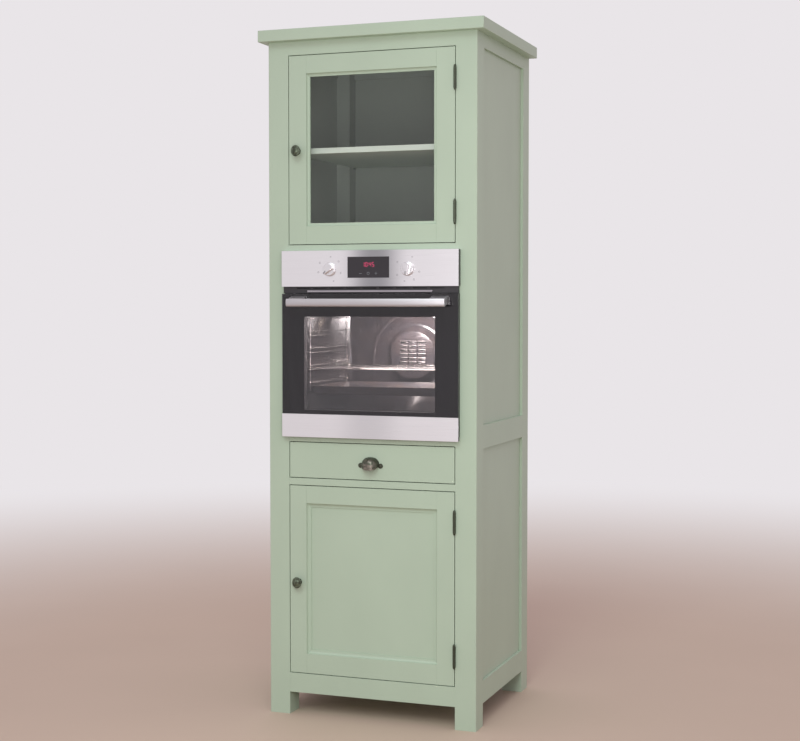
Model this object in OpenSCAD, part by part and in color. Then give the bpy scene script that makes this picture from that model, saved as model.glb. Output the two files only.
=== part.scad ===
// Tall painted kitchen cabinet: a glazed door on top, a built-in oven, a drawer and a panelled door.
// All lengths are in millimetres. The origin is on the floor, in the middle of the overall footprint,
// with +Z up, the doors facing -Y and +X to the right of a person who faces them.

/* [Body] */
// Width of a corner post; the oven's front sets the width of the opening between the posts
post_w = 69; // [50:1:100]
// Depth of the body from its front face to its back
body_d = 595; // [585:5:680]
// Depth of a corner post, seen from the side
post_d = 72; // [60:1:90]
// Thickness of the frame rails
frame_t = 26; // [24:1:30]
// Radius of the eased outer edges of posts and crown
edge_r = 2.5; // [1:0.5:4]

/* [Heights] */
// Clear height under the bottom rails
leg_h = 72; // [40:1:140]
// Height of the bottom front rail
bottom_rail_h = 63; // [45:1:90]
// Height of the opening of the panelled door
cupboard_h = 612; // [480:1:800]
// Height of the thin rails between the openings
thin_rail_h = 22; // [20:1:30]
// Height of the drawer opening
drawer_h = 118; // [105:1:200]
// Height of the oven niche
niche_h = 585; // [583:1:592]
// Height of the opening of the glazed door
glazed_h = 603; // [450:1:800]
// Height of the top front rail
top_rail_h = 44; // [35:1:80]

/* [Crown] */
// Thickness of the crown board
crown_t = 37; // [22:1:50]
// Overhang of the crown at each side
crown_side = 27.5; // [10:0.5:45]
// Overhang of the crown at the front
crown_front = 23; // [10:0.5:45]

/* [Side and back panels] */
// Height of the bottom rail of each side
side_bottom_rail_h = 72; // [50:1:100]
// Height of the middle rail of each side
side_mid_rail_h = 74; // [50:1:110]
// How far the middle side rail reaches below the oven's floor
side_mid_drop = 33; // [24:1:45]
// Thickness of the side panels
panel_t = 12; // [8:1:14]
// How far the side and back panels lie behind the frame's face
panel_recess = 9; // [4:1:10]
// Depth of the grooves that hold the panels
groove_d = 8; // [4:1:10]
// Thickness of the back panels
back_t = 8; // [4:1:12]
// Height of the middle rails of the back
back_rail_h = 62; // [40:1:90]

/* [Boards] */
// Thickness of the floors and shelves
board_t = 18; // [16:1:20]
// Height of the shelf's underside above the glazed compartment's floor
glazed_shelf_up = 293; // [200:1:380]
// Height of the shelf's underside above the cupboard's floor
cupboard_shelf_up = 290; // [180:1:400]
// How far a shelf's front edge lies behind the cabinet's face
shelf_setback = 45; // [35:1:60]
// Clearance at each end of a shelf
shelf_play = 1; // [0.5:0.5:3]
// Diameter of a shelf pin
pin_d = 5; // [4:0.5:7]
// Length of a shelf pin inside its post
pin_in = 9; // [6:1:14]
// Length of a shelf pin under its shelf
pin_out = 9; // [6:1:14]

/* [Doors] */
// Gap between a door or drawer front and its frame
door_gap = 2.5; // [2.4:0.1:3.5]
// Thickness of the doors and of the drawer front
door_t = 22; // [20:0.5:23]
// Hairline left where two pieces of wood or two plates meet
joint_line = 0.2; // [0.1:0.05:0.4]
// Width of the upright frame members of the glazed door
glazed_stile_w = 60; // [45:1:80]
// Width of the cross members of the glazed door
glazed_rail_w = 57; // [45:1:80]
// Width of the upright frame members of the panelled door
panel_stile_w = 57; // [45:1:80]
// Width of the top member of the panelled door
panel_rail_w = 56; // [45:1:80]
// Width of the bottom member of the panelled door
panel_low_rail_w = 63; // [45:1:90]
// Width of the moulding round the glass
bead_w = 10; // [7:0.5:16]
// How far the glass lies behind the door's face
glass_recess = 9; // [7:0.5:10]
// Thickness of the glass pane
pane_t = 4; // [3:0.5:5]
// Width of the moulding round the door's panel
moulding_w = 13; // [9:0.5:20]
// How far the door's panel lies behind the door's face
door_panel_recess = 12; // [9:0.5:13]
// Thickness of the door's panel
door_panel_t = 6; // [4:0.5:7]

/* [Fittings] */
// Diameter of a hinge barrel
barrel_d = 9.5; // [8:0.5:11]
// Length of a hinge barrel without its finials
barrel_l = 62; // [50:1:90]
// Distance from a door's end to the middle of its hinge
hinge_inset = 94; // [70:1:130]
// Thickness of a hinge leaf
leaf_t = 1; // [0.8:0.1:1]
// Depth of a hinge leaf from the cabinet's face
leaf_d = 20; // [14:1:21]
// Diameter of a hinge pin
hinge_pin_d = 4; // [3:0.5:5]
// Radial running clearance of every pin and shaft
run_fit = 0.05; // [0.03:0.01:0.09]
// Width of a door knob
knob_d = 31; // [24:1:32]
// Height of a door knob
knob_h = 36; // [32:1:42]
// How far a door knob stands out
knob_out = 27; // [20:1:34]
// Distance from the door's edge to the middle of its knob
knob_inset = 31; // [20:1:36]
// Width of the cup pull over its two ears
pull_w = 83; // [70:1:110]
// Width of the cup of the pull
pull_cup_w = 57; // [44:1:64]
// Height of the cup pull
pull_h = 39; // [32:1:50]
// Wall of the cup pull
pull_wall = 2; // [1.5:0.25:3]

/* [Drawer] */
// Depth of the drawer box behind its front
drawer_box_d = 480; // [380:5:500]
// Thickness of the drawer's sides and back
drawer_side_t = 12; // [10:1:16]
// Thickness of the drawer's bottom
drawer_bottom_t = 6; // [4:1:8]
// Thickness of the runners
runner_t = 12; // [10:1:16]
// Clearance between the drawer box and its runners
runner_play = 0.5; // [0.4:0.1:1]

/* [Oven front] */
// Width of the oven's front, which also sets the width of every opening
oven_w = 594; // [590:1:596]
// How far the oven's front laps over the post at each side
oven_lap = 16; // [12:0.5:20]
// How far the oven's front stands out from the cabinet's face
oven_proud = 20; // [18:0.5:24]
// How far the oven's front reaches below the niche
oven_drop = 5.5; // [4:0.5:7]
// How far the oven's front reaches above the niche
oven_rise = 3; // [2:0.5:6]
// Height of the control panel
control_h = 113.5; // [100:0.5:125]
// Height of the air gap between control panel and door
vent_h = 23; // [18:0.5:30]
// Height of the steel strip at the foot of the oven door
strip_h = 74; // [50:1:80]
// Width of the display
display_w = 140; // [110:1:180]
// Height of the display
display_h = 66; // [40:1:76]
// Distance from the middle of the front to each oven knob
oven_knob_x = 131; // [105:1:180]
// Diameter of an oven knob
oven_knob_d = 44; // [36:1:50]
// Width of the wide end of an oven knob's grip
grip_wide = 28; // [16:1:34]
// Width of the narrow end of an oven knob's grip
grip_narrow = 8; // [6:1:14]
// Height of an oven knob above the foot of the control panel
oven_knob_z = 54; // [40:1:70]
// Thickness of the two door glasses
oven_glass_t = 4; // [3:0.5:5]
// Distance from each side of the oven's front to the end of the handle
handle_inset = 32; // [20:1:90]
// Height of the handle bar
handle_h = 25; // [16:1:30]
// Thickness of the handle bar
handle_t = 14; // [10:1:18]
// Finger room between the door glass and the handle bar
handle_gap = 28; // [24:1:45]
// Width of each handle bracket
bracket_w = 54; // [30:1:70]
// Distance from the top of the door to the middle of the handle
handle_drop = 28; // [20:1:60]

/* [Oven inside] */
// Air gap between the oven's casing and each post
casing_gap = 5; // [3:0.5:8]
// Air gap above the oven's casing
casing_top_gap = 11; // [6:0.5:15]
// Distance from the back rails to the back of the casing
casing_back_gap = 23; // [10:1:40]
// Thickness of the casing's sheet
sheet_t = 1; // [0.8:0.1:2]
// Room for insulation between the casing and each side of the cavity
insulation_w = 36; // [30:1:50]
// Room for the fan motor between the cavity and the back of the casing
motor_room = 122; // [90:1:140]
// Height of the cavity's floor above the niche's floor
cavity_up = 56; // [50:1:70]
// Distance from the top of the door down to the cavity's roof
door_head = 38.5; // [34:0.5:60]
// Wall of the cavity liner
liner_t = 1.5; // [1:0.25:2.5]
// Radius of the liner's corners
liner_r = 22; // [12:1:34]
// Number of shelf levels on the side ladders
ladder_levels = 5; // [3:1:6]
// Wire diameter of ladders and shelf
wire_d = 4; // [3:0.5:5]
// Number of wires across the wire shelf
shelf_wires = 15; // [9:2:21]
// Level that carries the wire shelf, counted from below
wire_shelf_level = 2; // [2:1:3]
// Depth of the baking tray
tray_h = 28; // [18:1:30]
// Diameter of the fan cover
fan_cover_d = 200; // [170:2:240]
// Number of fan blades
fan_blades = 12; // [6:1:18]

/* [Hidden] */
$fn = 48;

// Colours of the finishes
sage = "#b2c0a6";
bronze = "#4a4a3c";
steel = "#c9c7c8";
dark = "#2b2b2e";

// Distances from front to back
reach = oven_proud + handle_gap + handle_t;
front_y = (reach - body_d) / 2;
back_y = front_y + body_d;
oven_y = front_y - oven_proud;

// Levels from the floor upwards
cupboard_z0 = leg_h + bottom_rail_h;
cupboard_z1 = cupboard_z0 + cupboard_h;
drawer_z0 = cupboard_z1 + thin_rail_h;
drawer_z1 = drawer_z0 + drawer_h;
niche_z0 = drawer_z1 + thin_rail_h;
niche_z1 = niche_z0 + niche_h;
glazed_z0 = niche_z1 + thin_rail_h;
glazed_z1 = glazed_z0 + glazed_h;
frame_z1 = glazed_z1 + top_rail_h;

// Frame
opening_w = oven_w - 2 * oven_lap;
post_x = opening_w / 2;
half_w = post_x + post_w;
body_w = 2 * half_w;
mid_rail_z0 = niche_z0 - side_mid_drop;
mid_rail_z1 = mid_rail_z0 + side_mid_rail_h;
side_panel_z0 = leg_h + side_bottom_rail_h;
panel_in_x = half_w - panel_recess - panel_t;
back_panel_y = back_y - panel_recess - back_t;
upper_back_z0 = niche_z1 + back_rail_h;
lower_back_z1 = niche_z0 - back_rail_h;

// Shelf pins
glazed_shelf_z = glazed_z0 + glazed_shelf_up;
cupboard_shelf_z = cupboard_z0 + cupboard_shelf_up;
pin_y = [front_y + shelf_setback + 10, back_y - post_d / 2];

// Wall fixing holes in the top back rail
wall_hole_spacing = 400;
wall_hole_r = 3;

// Doors
leaf_w = opening_w - 2 * door_gap;
glazed_leaf_h = glazed_h - 2 * door_gap;
cupboard_leaf_h = cupboard_h - 2 * door_gap;
back_bead_t = 7;
// Flat noses of the mouldings, and their lips above the glass and the panel
bead_nose = 5;
bead_lip = 1.5;
moulding_nose = 5;
moulding_lip = 2.5;

// Hinges turn about a line in the middle of the gap, just in front of the doors
hinge_x = post_x - door_gap / 2;
hinge_y = front_y - barrel_d / 2 - 0.6;
knuckles = 5;
knuckle_l = barrel_l / knuckles;
finial_l = 8.5;
hinge_zs = [
    glazed_z0 + door_gap + hinge_inset, glazed_z1 - door_gap - hinge_inset,
    cupboard_z0 + door_gap + hinge_inset, cupboard_z1 - door_gap - hinge_inset
];
knob_x = -leaf_w / 2 + knob_inset;
glazed_knob_z = (glazed_z0 + glazed_z1) / 2 - 3;
panel_knob_z = (cupboard_z0 + cupboard_z1) / 2 - 8;

// Magnetic catches on the left posts, each behind a strike plate on its door
strike_t = 1.5;
catch_gap = 0.3;
catch_size = [11, 20, 42];
catch_zs = [glazed_knob_z + 160, panel_knob_z + 160];

// Drawer
front_h = drawer_h - 2 * door_gap;
box_x = post_x - runner_t - runner_play;
box_z0 = drawer_z0 + 12;
box_z1 = drawer_z1 - 14;
box_y0 = front_y + door_t;
box_y1 = box_y0 + drawer_box_d;
ledge_w = drawer_side_t + 2;
ledge_t = 8;
runner_h = 40;
dovetails = 3;
dovetail_l = 12;
bottom_groove = 6;
bottom_up = 9;
pull_z = (drawer_z0 + drawer_z1) / 2 - 4;

// Oven front
oven_z0 = niche_z0 - oven_drop;
oven_z1 = niche_z1 + oven_rise;
control_z0 = oven_z1 - control_h;
oven_door_z1 = control_z0 - vent_h;
strip_z1 = oven_z0 + strip_h;
display_z = control_z0 + control_h / 2 + 3;
knob_z = control_z0 + oven_knob_z;
trim_t = 1.5;
skin_t = 1.2;
door_back_y = front_y - trim_t - 0.5;
handle_z = oven_door_z1 - handle_drop;
handle_l = oven_w - 2 * handle_inset;

// Oven door pivot: low in the proud part of the front, so that the door's foot clears the cabinet
pivot_y = front_y - oven_proud / 2;
pivot_z = oven_z0 + 7.7;
pivot_r = 3;

// Oven cavity, behind the inner glass and its seal
inner_glass_y = front_y + 5.7;
seal_t = 4;
liner_y = inner_glass_y + oven_glass_t + 0.3 + seal_t;
casing_w = opening_w - 2 * casing_gap;
casing_h = niche_h - casing_top_gap;
casing_back = back_y - frame_t - casing_back_gap;
cavity_w = casing_w - 2 * insulation_w;
cavity_z0 = niche_z0 + cavity_up;
cavity_z1 = oven_door_z1 - door_head;
cavity_h = cavity_z1 - cavity_z0;
cavity_back = casing_back - motor_room;
cavity_d = cavity_back - liner_y;

// Oven door behind its outer glass, and the window in its black carrier
carrier_w = oven_w - 64;
window_w = carrier_w - 90;
window_z0 = cavity_z0 + 26;
window_z1 = cavity_z1 - 34;
inner_glass_lap = 18;
inner_glass_z0 = cavity_z0 - inner_glass_lap;
inner_glass_z1 = cavity_z1 + inner_glass_lap;

// Hinge arms beside the carrier, each next to the ear that its pin turns in
ear_r = 6.5;
arm_x = carrier_w / 2;
arm_t = 2.5;
arm_play = 0.5;
receiver_x = arm_x + arm_t + arm_play;
receiver_t = 3;
arm_h = 32;

// Screws that hold the oven's trim frame to the posts
oven_screw_r = 2;
oven_screw_l = 18;

// Ladders, wire shelf and tray
wire_r = wire_d / 2;
ladder_x = cavity_w / 2 - 7;
rung_x = ladder_x - wire_d + 0.4;
ladder_y0 = liner_y + 50;
ladder_y1 = cavity_back - 45;
level_0 = cavity_z0 + 96;
level_pitch = (cavity_z1 - 41 - level_0) / (ladder_levels - 1);
pair_gap = 14;
rest_gap = 0.1;
rack_w = 2 * (ladder_x - wire_r - 0.5);
wire_shelf_z = level_0 + wire_shelf_level * level_pitch - level_pitch + 2 * wire_r + rest_gap;
tray_rim_z = level_0 + wire_r + rest_gap;
rim_t = 1.2;

// Fan
fan_z = (cavity_z0 + cavity_z1) / 2 + 11.5;
fan_cover_t = 26;
fan_shaft_r = 4;
fan_shaft_l = 46;
fan_hub_h = 14;
fan_blade_t = 1.5;
fan_gap = 4;

// A board whose twelve edges are rounded
module eased_board(size, r) {
    intersection() {
        linear_extrude(size[2]) rounded_rect(size[0], size[1], r);
        translate([0, size[1], 0]) rotate([90, 0, 0]) linear_extrude(size[1])
            rounded_rect(size[0], size[2], r);
        rotate([90, 0, 90]) linear_extrude(size[0]) rounded_rect(size[1], size[2], r);
    }
}

// A rectangle with round corners, its low left corner at the origin
module rounded_rect(w, h, r) {
    translate([r, 0]) square([w - 2 * r, h]);
    translate([0, r]) square([w, h - 2 * r]);
    for (x = [r, w - r]) {
        for (y = [r, h - r]) {
            translate([x, y]) circle(r = r);
        }
    }
}

// Its children, and the same again on the other side of the middle plane
module both_sides() {
    children();
    mirror([1, 0, 0]) children();
}

// A box given by its lowest and highest corner
module span(low, high) {
    translate(low) cube([high[0] - low[0], high[1] - low[1], high[2] - low[2]]);
}

// Turns a piece that points up so that it points out of the cabinet's front
module facing_front(x, y, z) {
    translate([x, y, z]) rotate([90, 0, 0]) children();
}

// A face frame of two uprights and two cross members, with a hairline at each joint
module face_frame(w, h, side, low, high, t) {
    cross_w = w - 2 * side - 2 * joint_line;
    both_sides() translate([w / 2 - side, 0, 0]) cube([side, t, h]);
    translate([-cross_w / 2, 0, 0]) cube([cross_w, t, low]);
    translate([-cross_w / 2, 0, h - high]) cube([cross_w, t, high]);
}

// One bar of a mitred moulding: the child is its section, with depth across and width up
module mitred_bar(length, w, t) {
    half = length / 2 - joint_line / 2;
    intersection() {
        translate([-length / 2, 0, 0]) rotate([90, 0, 90]) linear_extrude(length) children();
        translate([0, t, 0]) rotate([90, 0, 0]) linear_extrude(t)
            polygon([[-half, 0], [half, 0], [half - w, w], [-half + w, w]]);
    }
}

// Four mitred bars round a rectangle that stands on its low edge
module mitred_ring(w, h, bar_w, t) {
    mitred_bar(w, bar_w, t) children();
    translate([0, 0, h]) mirror([0, 0, 1]) mitred_bar(w, bar_w, t) children();
    both_sides() translate([-w / 2, 0, h / 2]) rotate([0, 90, 0]) mitred_bar(h, bar_w, t) children();
}

// Section of a door's moulding: a small step, a hollow that falls steeply and a flat nose with a lip
module hollow_section(w, depth, nose, lip) {
    step = 1;
    polygon(concat(
        [[depth, 0]],
        [for (a = [0 : 15 : 90]) [step + (depth - step - lip) * sin(a), (w - nose) * (1 - cos(a))]],
        [[depth - lip, w], [depth, w]]
    ));
}

// Body

module crown_top() {
    crown_w = body_w + 2 * crown_side;
    color(sage) translate([-crown_w / 2, front_y - crown_front, frame_z1])
        eased_board([crown_w, body_d + crown_front, crown_t], edge_r);
}

// The right front post seen from above, with its outer front edge eased
module post_section() {
    translate([0, edge_r]) square([post_w, post_d - edge_r]);
    square([post_w - edge_r, post_d]);
    translate([post_w - edge_r, edge_r]) circle(r = edge_r);
}

module pin_holes(y) {
    for (z = [glazed_shelf_z, cupboard_shelf_z]) {
        translate([post_x - 1, y, z - pin_d / 2]) rotate([0, 90, 0])
            cylinder(h = pin_in + 1 + run_fit, d = pin_d + 2 * run_fit);
    }
}

module front_posts() {
    color(sage) difference() {
        both_sides() difference() {
            translate([post_x, front_y, 0]) linear_extrude(frame_z1) post_section();
            pin_holes(pin_y[0]);
        }
        side_panels();
        screw_places() translate([0, 0, -oven_screw_l - run_fit])
            cylinder(h = oven_screw_l + 1, r = oven_screw_r + run_fit);
    }
}

module rear_posts() {
    color(sage) difference() {
        both_sides() difference() {
            translate([post_x, back_y, 0]) mirror([0, 1, 0]) linear_extrude(frame_z1) post_section();
            pin_holes(pin_y[1]);
        }
        side_panels();
        back_panels();
    }
}

module front_rails() {
    color(sage) for (z = [
        [leg_h, cupboard_z0], [cupboard_z1, drawer_z0], [drawer_z1, niche_z0],
        [niche_z1, glazed_z0], [glazed_z1, frame_z1]
    ]) {
        span([-post_x, front_y, z[0]], [post_x, front_y + frame_t, z[1]]);
    }
}

module side_rails() {
    color(sage) difference() {
        both_sides() for (z = [[leg_h, side_panel_z0], [mid_rail_z0, mid_rail_z1], [glazed_z1, frame_z1]]) {
            span([half_w - frame_t, front_y + post_d, z[0]], [half_w, back_y - post_d, z[1]]);
        }
        side_panels();
    }
}

module rear_rails() {
    color(sage) difference() {
        for (z = [
            [leg_h, cupboard_z0], [lower_back_z1, niche_z0],
            [niche_z1, upper_back_z0], [glazed_z1, frame_z1]
        ]) {
            span([-post_x, back_y - frame_t, z[0]], [post_x, back_y, z[1]]);
        }
        back_panels();
        for (x = [-wall_hole_spacing / 2, wall_hole_spacing / 2]) {
            translate([x, back_y + 1, glazed_z1 + top_rail_h / 2]) rotate([90, 0, 0])
                cylinder(h = frame_t + 2, r = wall_hole_r);
        }
    }
}

module side_panels() {
    color(sage) both_sides() for (z = [[side_panel_z0, mid_rail_z0], [mid_rail_z1, glazed_z1]]) {
        span(
            [panel_in_x, front_y + post_d - groove_d, z[0] - groove_d],
            [panel_in_x + panel_t, back_y - post_d + groove_d, z[1] + groove_d]
        );
    }
}

module back_panels() {
    color(sage) for (z = [[cupboard_z0, lower_back_z1], [upper_back_z0, glazed_z1]]) {
        span(
            [-post_x - groove_d, back_panel_y, z[0] - groove_d],
            [post_x + groove_d, back_panel_y + back_t, z[1] + groove_d]
        );
    }
}

// A floor that fills the body behind the front rail, cut out round the posts
module floor_board(top, side_x) {
    color(sage) translate([0, 0, top - board_t]) linear_extrude(board_t) difference() {
        translate([-side_x, front_y + frame_t]) square([2 * side_x, body_d - 2 * frame_t]);
        for (x = [-side_x, post_x]) {
            translate([x, front_y]) square([side_x - post_x, post_d]);
            translate([x, back_y - post_d]) square([side_x - post_x, post_d]);
        }
    }
}

module glazed_floor() {
    floor_board(glazed_z0, panel_in_x);
}

module oven_floor() {
    floor_board(niche_z0, half_w - frame_t);
}

module drawer_dust_board() {
    floor_board(drawer_z0, panel_in_x);
}

module cabinet_floor() {
    floor_board(cupboard_z0, half_w - frame_t);
}

// A loose shelf between the posts, resting on four pins
module shelf_board(z) {
    end_x = post_x - shelf_play;
    color(sage) translate([-end_x, front_y + shelf_setback, z])
        eased_board([2 * end_x, back_y - frame_t - 2 - front_y - shelf_setback, board_t], 1);
}

module glazed_shelf() {
    shelf_board(glazed_shelf_z);
}

module cupboard_shelf() {
    shelf_board(cupboard_shelf_z);
}

module shelf_pins() {
    color(steel) both_sides() for (y = pin_y) {
        for (z = [glazed_shelf_z, cupboard_shelf_z]) {
            translate([post_x - pin_out, y, z - pin_d / 2]) rotate([0, 90, 0])
                cylinder(h = pin_out + pin_in, d = pin_d);
        }
    }
}

// L-shaped hardwood runners screwed to the posts
module drawer_runners() {
    runner_z0 = box_z0 - rest_gap - ledge_t;
    color("#c9a877") both_sides() {
        span(
            [post_x - runner_t, front_y + frame_t, runner_z0],
            [post_x, back_y - frame_t, runner_z0 + runner_h]
        );
        span(
            [post_x - runner_t - ledge_w, front_y + frame_t, runner_z0],
            [post_x, back_y - frame_t, runner_z0 + ledge_t]
        );
    }
}

module door_catches() {
    color("#d8d4cb") for (z = catch_zs) {
        translate([-post_x, front_y + door_t + strike_t + catch_gap, z - catch_size[2] / 2])
            eased_board(catch_size, 1.5);
    }
}

// Hinges

// Knuckles first, first + 2 and so on of one barrel, with a strap from each to the leaf plate
module knuckle_set(first, bore_r, strap_x) {
    for (i = [first : 2 : knuckles - 1]) {
        translate([0, 0, i * knuckle_l - barrel_l / 2 + joint_line / 2]) difference() {
            union() {
                cylinder(h = knuckle_l - joint_line, d = barrel_d);
                translate([strap_x, 0, 0]) cube([leaf_t, front_y - hinge_y + 1, knuckle_l - joint_line]);
            }
            translate([0, 0, -1]) cylinder(h = knuckle_l + 2, r = bore_r);
        }
    }
}

// One leaf of a hinge: its knuckles and the plate that lies in the gap beside the door
module hinge_leaf(first, bore_r, strap_x) {
    knuckle_set(first, bore_r, strap_x);
    translate([strap_x, front_y - hinge_y, -barrel_l / 2]) cube([leaf_t, leaf_d, barrel_l]);
}

module hinge_frame_leaves() {
    color(bronze) for (z = hinge_zs) {
        translate([hinge_x, hinge_y, z]) hinge_leaf(0, hinge_pin_d / 2, door_gap / 2 - leaf_t);
    }
}

// The half outline of a hinge pin with a turned finial above, from the middle of the barrel up
function finial_outline() = concat(
    [[0, 0], [hinge_pin_d / 2, 0], [hinge_pin_d / 2, barrel_l / 2], [barrel_d / 2 - 0.4, barrel_l / 2]],
    [for (a = [0 : 15 : 90]) [
        (barrel_d / 2 - 0.9) * cos(a) + 0.5, barrel_l / 2 + 1 + (finial_l - 1) * sin(a)
    ]],
    [[0, barrel_l / 2 + finial_l]]
);

module hinge_pins() {
    color(bronze) for (z = hinge_zs) {
        translate([hinge_x, hinge_y, z]) {
            rotate_extrude() polygon(finial_outline());
            mirror([0, 0, 1]) rotate_extrude() polygon(finial_outline());
        }
    }
}

// Door leaves of two hinges, and the strike plate that the door's catch holds
module door_fittings(zs, catch_z) {
    color(bronze) {
        for (z = zs) {
            translate([hinge_x, hinge_y, z])
                hinge_leaf(1, hinge_pin_d / 2 + run_fit, -door_gap / 2);
        }
        translate([-leaf_w / 2 + 1, front_y + door_t, catch_z - 20]) eased_board([14, strike_t, 40], 0.5);
    }
}

// Half outline of a knob with a base, a neck and a flattened head
module knob_outline() {
    head_r = knob_d / 2;
    head_h = 9;
    head_z = knob_out - head_h;
    polygon(concat(
        [[0, 0], [9.5, 0], [9.5, 1.5], [7.5, 3], [5.5, 5], [5, 8], [6, head_z - 7], [9, head_z - 4.5]],
        [for (a = [-15 : 7.5 : 90]) [head_r * cos(a), head_z + head_h * sin(a)]]
    ));
}

// Oval knob: two turned halves, drawn apart by a straight piece between them
module door_knob() {
    straight = knob_h - knob_d;
    color(bronze) {
        translate([0, straight / 2, 0]) rotate_extrude(angle = 180) knob_outline();
        translate([0, -straight / 2, 0]) rotate([0, 0, 180]) rotate_extrude(angle = 180) knob_outline();
        rotate([90, 0, 0]) linear_extrude(straight, center = true) {
            knob_outline();
            mirror([1, 0]) knob_outline();
        }
    }
}

// Glazed door

module glazed_door_frame() {
    color(sage) translate([0, front_y, glazed_z0 + door_gap])
        face_frame(leaf_w, glazed_leaf_h, glazed_stile_w, glazed_rail_w, glazed_rail_w, door_t);
}

module glazed_door_beads() {
    ring_w = leaf_w - 2 * glazed_stile_w;
    ring_h = glazed_leaf_h - 2 * glazed_rail_w;
    ring_z = glazed_z0 + door_gap + glazed_rail_w;
    color(sage) {
        translate([0, front_y, ring_z]) mitred_ring(ring_w, ring_h, bead_w, glass_recess)
            hollow_section(bead_w, glass_recess, bead_nose, bead_lip);
        translate([0, front_y + glass_recess + pane_t, ring_z])
            mitred_ring(ring_w, ring_h, bead_w, back_bead_t)
            polygon([[0, 0], [back_bead_t, 0], [back_bead_t, bead_w / 2], [0, bead_w]]);
    }
}

module glazed_door_pane() {
    pane_play = 0.5;
    pane_w = leaf_w - 2 * glazed_stile_w - 2 * pane_play;
    ring_z = glazed_z0 + door_gap + glazed_rail_w;
    pane_h = glazed_leaf_h - 2 * glazed_rail_w - 2 * pane_play;
    color("#5b6163", 0.5) translate([-pane_w / 2, front_y + glass_recess, ring_z + pane_play])
        cube([pane_w, pane_t, pane_h]);
}

module glazed_door_knob() {
    facing_front(knob_x, front_y, glazed_knob_z) door_knob();
}

module glazed_door_fittings() {
    door_fittings([hinge_zs[0], hinge_zs[1]], catch_zs[0]);
}

// Panelled door

module panel_door_frame() {
    color(sage) difference() {
        translate([0, front_y, cupboard_z0 + door_gap])
            face_frame(leaf_w, cupboard_leaf_h, panel_stile_w, panel_low_rail_w, panel_rail_w, door_t);
        panel_door_panel();
    }
}

module panel_door_moulding() {
    ring_h = cupboard_leaf_h - panel_rail_w - panel_low_rail_w;
    color(sage) translate([0, front_y, cupboard_z0 + door_gap + panel_low_rail_w])
        mitred_ring(leaf_w - 2 * panel_stile_w, ring_h, moulding_w, door_panel_recess)
        hollow_section(moulding_w, door_panel_recess, moulding_nose, moulding_lip);
}

module panel_door_panel() {
    low = cupboard_z0 + door_gap + panel_low_rail_w - groove_d;
    high = cupboard_z1 - door_gap - panel_rail_w + groove_d;
    x = leaf_w / 2 - panel_stile_w + groove_d;
    y = front_y + door_panel_recess;
    color(sage) span([-x, y, low], [x, y + door_panel_t, high]);
}

module panel_door_knob() {
    facing_front(knob_x, front_y, panel_knob_z) door_knob();
}

module panel_door_fittings() {
    door_fittings([hinge_zs[2], hinge_zs[3]], catch_zs[1]);
}

// Drawer

// Dovetails on the end of a drawer side, wider where they end
module tails() {
    pitch = (box_z1 - box_z0) / dovetails;
    for (i = [0 : dovetails - 1]) {
        translate([0, 0, box_z0 + (i + 0.5) * pitch]) rotate([90, 0, 90]) linear_extrude(drawer_side_t)
            polygon([
                [box_y0 - dovetail_l, -pitch * 0.33], [box_y0 + 1, -pitch * 0.23],
                [box_y0 + 1, pitch * 0.23], [box_y0 - dovetail_l, pitch * 0.33]
            ]);
    }
}

module drawer_sides() {
    both_sides() translate([box_x - drawer_side_t, 0, 0]) {
        span([0, box_y0, box_z0], [drawer_side_t, box_y1, box_z1]);
        tails();
    }
}

module drawer_front() {
    color(sage) difference() {
        translate([-leaf_w / 2, front_y, drawer_z0 + door_gap]) cube([leaf_w, door_t, front_h]);
        drawer_sides();
        drawer_bottom();
    }
}

module drawer_box() {
    back_x = box_x - drawer_side_t - joint_line;
    color("#d9c39a") difference() {
        union() {
            drawer_sides();
            span([-back_x, box_y1 - drawer_side_t, box_z0 + bottom_up], [back_x, box_y1, box_z1 - 6]);
        }
        drawer_bottom();
    }
}

module drawer_bottom() {
    x = box_x - drawer_side_t + bottom_groove;
    z = box_z0 + bottom_up;
    color("#cdb183")
        span([-x, box_y0 - bottom_groove, z], [x, box_y1 - drawer_side_t / 2, z + drawer_bottom_t]);
}

// Cup pull: a half dome open below, its lip falling towards the front, on a plate with two ears

function dome_outline(r, top, low) = concat(
    [[0, low], [r, low]],
    [for (a = [0 : 7.5 : 90]) [r * pow(cos(a), 0.8), top * pow(sin(a), 0.9)]]
);

// The dome, standing on its axis, with its upper end on top
module dome(r, top, low) {
    rotate([-90, 0, 0]) rotate_extrude($fn = 64) polygon(dome_outline(r, top, low));
}

// The dome's outline seen from the front
module dome_front(r, top, low) {
    polygon(dome_outline(r, top, low));
    mirror([1, 0]) polygon(dome_outline(r, top, low));
}

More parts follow.
